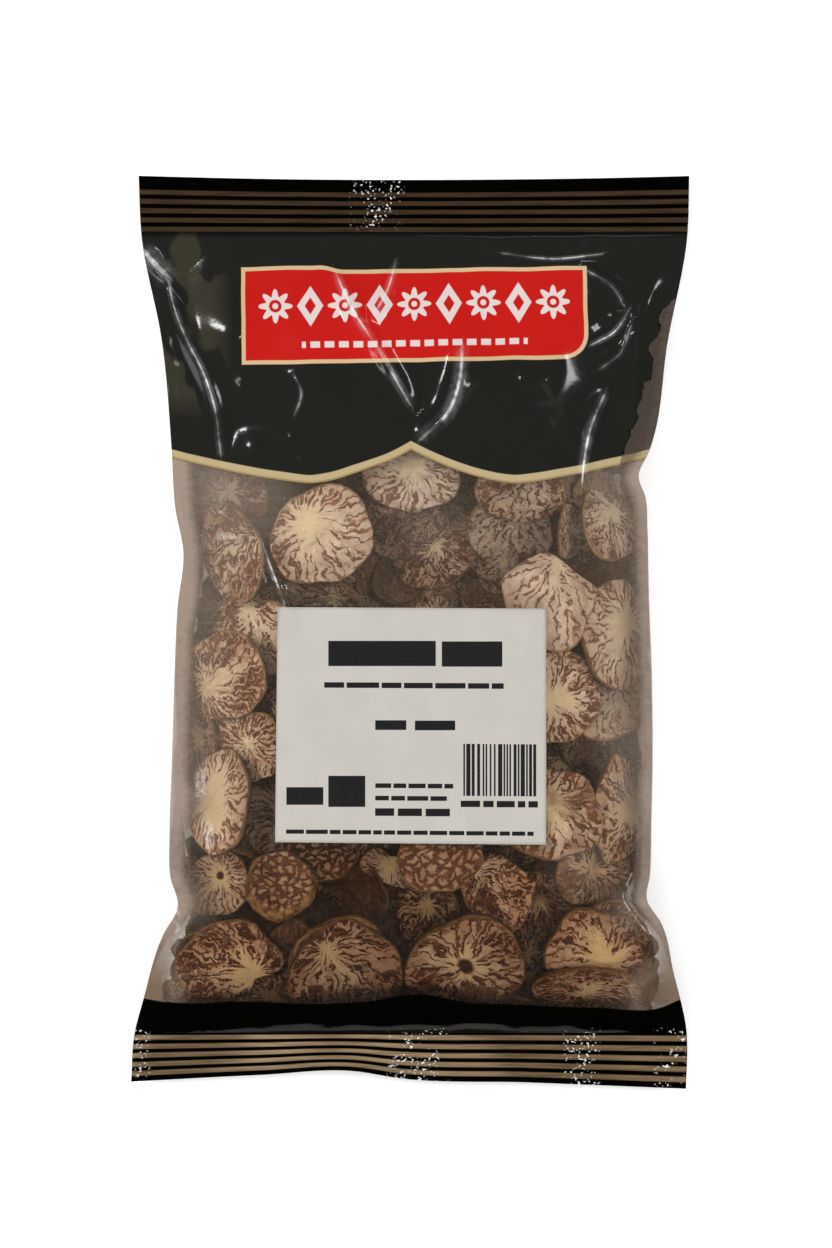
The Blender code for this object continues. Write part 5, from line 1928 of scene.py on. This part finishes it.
@dataclass
class Sticker:
    """The paper label, bent to the film, with plain bars in the place of its print.

    skew_x and skew_y are how far its corners lie off an even rectangle. The bars are dropped onto the
    paper from drop_height metres.
    """

    form: PouchForm
    film: Film
    thickness: float = 0.16
    gap: float = 0.10
    cell: float = 1.0
    ink_thickness: float = 0.02
    drop_height: float = 0.08
    skew_x: tuple[float, float] = (0.0, 0.6)
    skew_y: tuple[float, float] = (-0.35, 0.6)
    seed: int = 8

    def corner(self, x: Any, y: Any) -> tuple[Array, Array]:
        """Where a point of the even rectangle lies on the label, which was cut a little askew."""
        left, right, foot, head = self.film.label_box
        u, v = (np.asarray(x) - left) / (right - left), (np.asarray(y) - foot) / (head - foot)
        shift_x = self.skew_x[0] * (1 - v) * (1 - u) + self.skew_x[1] * v * (1 - u)
        shift_y = self.skew_y[0] * u * v + self.skew_y[1] * (1 - u) * (1 - v)
        return x + shift_x, y + shift_y

    def height(self, x: Any, y: Any) -> Array:
        """The height of the label's underside."""
        bed = self.form.pillow(x, y) - self.film.label_sag + self.film.crease_rise(x, y)
        return bed + self.form.seal_thickness / 2 + self.gap

    def build_paper(self) -> Object:
        """The sheet of paper."""
        left, right, foot, head = self.film.label_box
        across = np.linspace(left, right, int((right - left) / self.cell) + 1)
        along = np.linspace(foot, head, int((head - foot) / self.cell) + 1)
        x, y = self.corner(*np.meshgrid(across, along))
        points = np.stack([x, y, self.height(x, y)], axis=2)
        number = np.arange(x.size).reshape(x.shape)
        quads = np.stack([number[:-1, :-1], number[:-1, 1:], number[1:, 1:], number[1:, :-1]], axis=2)
        made = mesh_object("sticker", points.reshape(-1, 3), quads.reshape(-1, 4).tolist())
        paper = made.modifiers.new("paper", "SOLIDIFY")
        paper.thickness = self.thickness * MM
        paper.offset = 1.0
        made.data.materials.append(PaperFinish().material())
        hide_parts("label")
        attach(made, "root")
        return made

    def words(self, rng: np.random.Generator, span: tuple[float, float], base: float, height: float,
              lengths: tuple[float, float]) -> list[Bar]:
        """A line of greeked print: one plain bar for each word.

        Args:
            rng: where the lengths come from.
            span: the line's left and right ends.
            base: the height of the line's foot.
            height: the bars' height.
            lengths: the shortest and longest bar, in heights.

        Returns:
            The bars.
        """
        bars = []
        at = span[0]
        while at < span[1] - height * lengths[0] * 0.6:
            wide = min(height * float(rng.uniform(*lengths)), span[1] - at)
            bars.append(Bar(at + wide / 2, base + height / 2, wide, height))
            at += wide + height * 0.5
        return bars

    def bars(self) -> list[Bar]:
        """All the printed bars."""
        rng = np.random.default_rng(self.seed)
        bars = [Bar(25.2, 45.6, 25.6, 6.0), Bar(46.8, 45.6, 14.4, 6.0)]
        bars += self.words(rng, (11.4, 54.4), 37.3, 1.3, (2.5, 6.0))
        bars += [Bar(27.4, 28.4, 7.4, 2.3), Bar(38.0, 28.4, 9.6, 2.3)]
        bars += [Bar(7.0, 11.2, 8.8, 4.2), Bar(17.0, 12.4, 8.8, 7.4)]
        bars += self.words(rng, (23.8, 42.4), 13.3, 1.1, (2.5, 5.0))
        bars += self.words(rng, (23.8, 42.4), 10.3, 1.1, (2.5, 5.0))
        bars += self.words(rng, (23.8, 42.8), 6.6, 1.8, (2.0, 4.0))
        bars += self.words(rng, (2.6, 61.6), 2.1, 1.0, (2.0, 5.5))
        at = 44.8
        while at < 62.4:
            wide = float(rng.choice((0.4, 0.4, 0.7, 1.0)))
            bars.append(Bar(at + wide / 2, 17.8, wide, 12.4))
            at += wide + float(rng.choice((0.3, 0.3, 0.6)))
        bars += self.words(rng, (44.2, 62.6), 8.9, 1.5, (0.9, 4.0))
        return bars

    def build_ink(self, paper: Object) -> Object:
        """The bars: a thin slab set on each place, sized, and laid on the paper."""
        left, _, foot, _ = self.film.label_box
        bars = self.bars()
        places = np.array([(*self.corner(left + bar.x, foot + bar.y), 0.0) for bar in bars])
        sizes = np.array([(bar.width, bar.height, self.ink_thickness) for bar in bars])
        points = mesh_object("ink_places", places, [])
        add_attribute(points.data, "size", "FLOAT_VECTOR", sizes * MM)
        tree = ShapeTree("ink_tree")
        target = tree.setting("Paper", "NodeSocketObject", paper)
        drop = tree.setting("Drop height", "NodeSocketFloat", self.drop_height)
        slab = tree.node("GeometryNodeMeshCube", {"Vertices X": 16, "Vertices Y": 8, "Size": (1.0, 1.0, 1.0)})
        joined = tree.scatter(slab.outputs[0])
        sheet = tree.node("GeometryNodeObjectInfo", {0: target}, transform_space="RELATIVE")
        where = tree.node("GeometryNodeInputPosition").outputs[0]
        x, y, z = tree.node("ShaderNodeSeparateXYZ", {0: where}).outputs
        above = tree.vector(x, y, drop)
        fall = {"Source Position": above, "Ray Direction": (0.0, 0.0, -1.0), "Ray Length": 1.0}
        ray = tree.node("GeometryNodeRaycast", {"Target Geometry": sheet.outputs["Geometry"]} | fall)
        hit = tree.node("ShaderNodeSeparateXYZ", {0: ray.outputs["Hit Position"]})
        lifted = tree.node("ShaderNodeMath", {0: hit.outputs[2], 1: z}, operation="ADD")
        settled = tree.vector(x, y, lifted.outputs[0])
        laid = tree.node("GeometryNodeSetPosition", {"Geometry": joined, "Position": settled})
        made = tree.make(points, "label_print", laid.outputs[0], InkFinish().material())
        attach(made, "root")
        log.info("label print: %d bars", len(bars))
        return made

    def build(self) -> None:
        """Makes the paper and its print."""
        self.build_ink(self.build_paper())


@dataclass(frozen=True)
class Softbox:
    """A soft rectangular light that faces the pouch: its place and size in metres, and its power.

    One that isn't mirrored lights the pouch without showing in its film.
    """

    name: str
    place: tuple[float, float, float]
    size: tuple[float, float]
    watts: float
    mirrored: bool = False


@dataclass(frozen=True)
class Studio:
    """A pale floor, soft lights and a camera straight above, as the photograph was framed."""

    mm_per_pixel: float = 0.24
    middle: tuple[float, float] = (1.38, 1.98)
    distance: float = 3500.0
    floor_size: float = 4000.0
    floor_drop: float = 0.05
    sky: float = 0.45
    softboxes: tuple[Softbox, ...] = (
        Softbox("left_softbox", (-0.95, 0.35, 1.20), (0.7, 0.7), 13.7),
        Softbox("right_softbox", (0.95, 0.10, 1.20), (0.7, 0.7), 9.6),
        Softbox("foot_softbox", (0.0, -1.10, 1.20), (0.8, 0.6), 6.6),
        Softbox("window", (-0.62, 0.90, 1.10), (0.13, 0.09), 1.1, True),
        Softbox("sheen", (0.75, 0.95, 1.20), (0.22, 0.12), 1.0, True),
        Softbox("strip_left", (-1.00, -0.10, 0.95), (0.06, 0.40), 0.5, True),
    )

    def build_camera(self) -> None:
        """Makes a long lens that looks straight down."""
        data = bpy.data.cameras.new("camera")
        data.sensor_width = 36.0
        data.lens = data.sensor_width * self.distance / (PHOTO_SIZE[1] * self.mm_per_pixel)
        data.clip_end = 20.0
        camera = link(bpy.data.objects.new("camera", data))
        camera.location = (self.middle[0] * MM, self.middle[1] * MM, self.distance * MM)
        bpy.context.scene.camera = camera

    def build_floor(self) -> None:
        """Makes the floor under the pouch."""
        half = self.floor_size / 2
        corners = [(-half, -half, 0), (half, -half, 0), (half, half, 0), (-half, half, 0)]
        floor = mesh_object("floor", np.array(corners, float) - (0, 0, self.floor_drop), [(0, 1, 2, 3)])
        floor.data.materials.append(FloorFinish().material())

    def build_lights(self) -> None:
        """Makes the softboxes and an even sky that the dark film doesn't mirror."""
        for box in self.softboxes:
            data = bpy.data.lights.new(box.name, "AREA")
            data.shape = "RECTANGLE"
            data.size, data.size_y = box.size
            data.energy = box.watts
            lamp = link(bpy.data.objects.new(box.name, data))
            lamp.location = box.place
            lamp.rotation_euler = (-Vector(box.place)).to_track_quat("-Z", "Y").to_euler()
            lamp.visible_glossy = box.mirrored
            lamp.visible_camera = False
        world = bpy.data.worlds.new("soft_room")
        world.use_nodes = True
        shade = world.node_tree.nodes["Background"]
        shade.inputs["Color"].default_value = (1.0, 1.0, 1.0, 1.0)
        shade.inputs["Strength"].default_value = self.sky
        world.cycles_visibility.glossy = False
        scene = bpy.context.scene
        scene.world = world
        scene.view_settings.view_transform = "Standard"

    def build(self) -> None:
        """Makes the stage, lights and camera."""
        self.build_camera()
        self.build_floor()
        self.build_lights()


def main() -> None:
    """Builds the pouch's slices, film and label, and the studio around them."""
    logging.basicConfig(level=logging.INFO, format="%(name)s: %(message)s")
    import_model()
    form = PouchForm()
    relief = Relief()
    film = Film(form, relief)
    stack = ChipStack(form, relief, film.taut())
    stack.pack_shown()
    shown = len(stack.chips)
    stack.pack_rest()
    log.info("packed %d shown slices and %d more", shown, len(stack.chips) - shown)
    heap = NutHeap(stack)
    heap.build()
    film.build(heap.tops())
    Sticker(form, film).build()
    Studio().build()


if __name__ == "__main__":
    main()
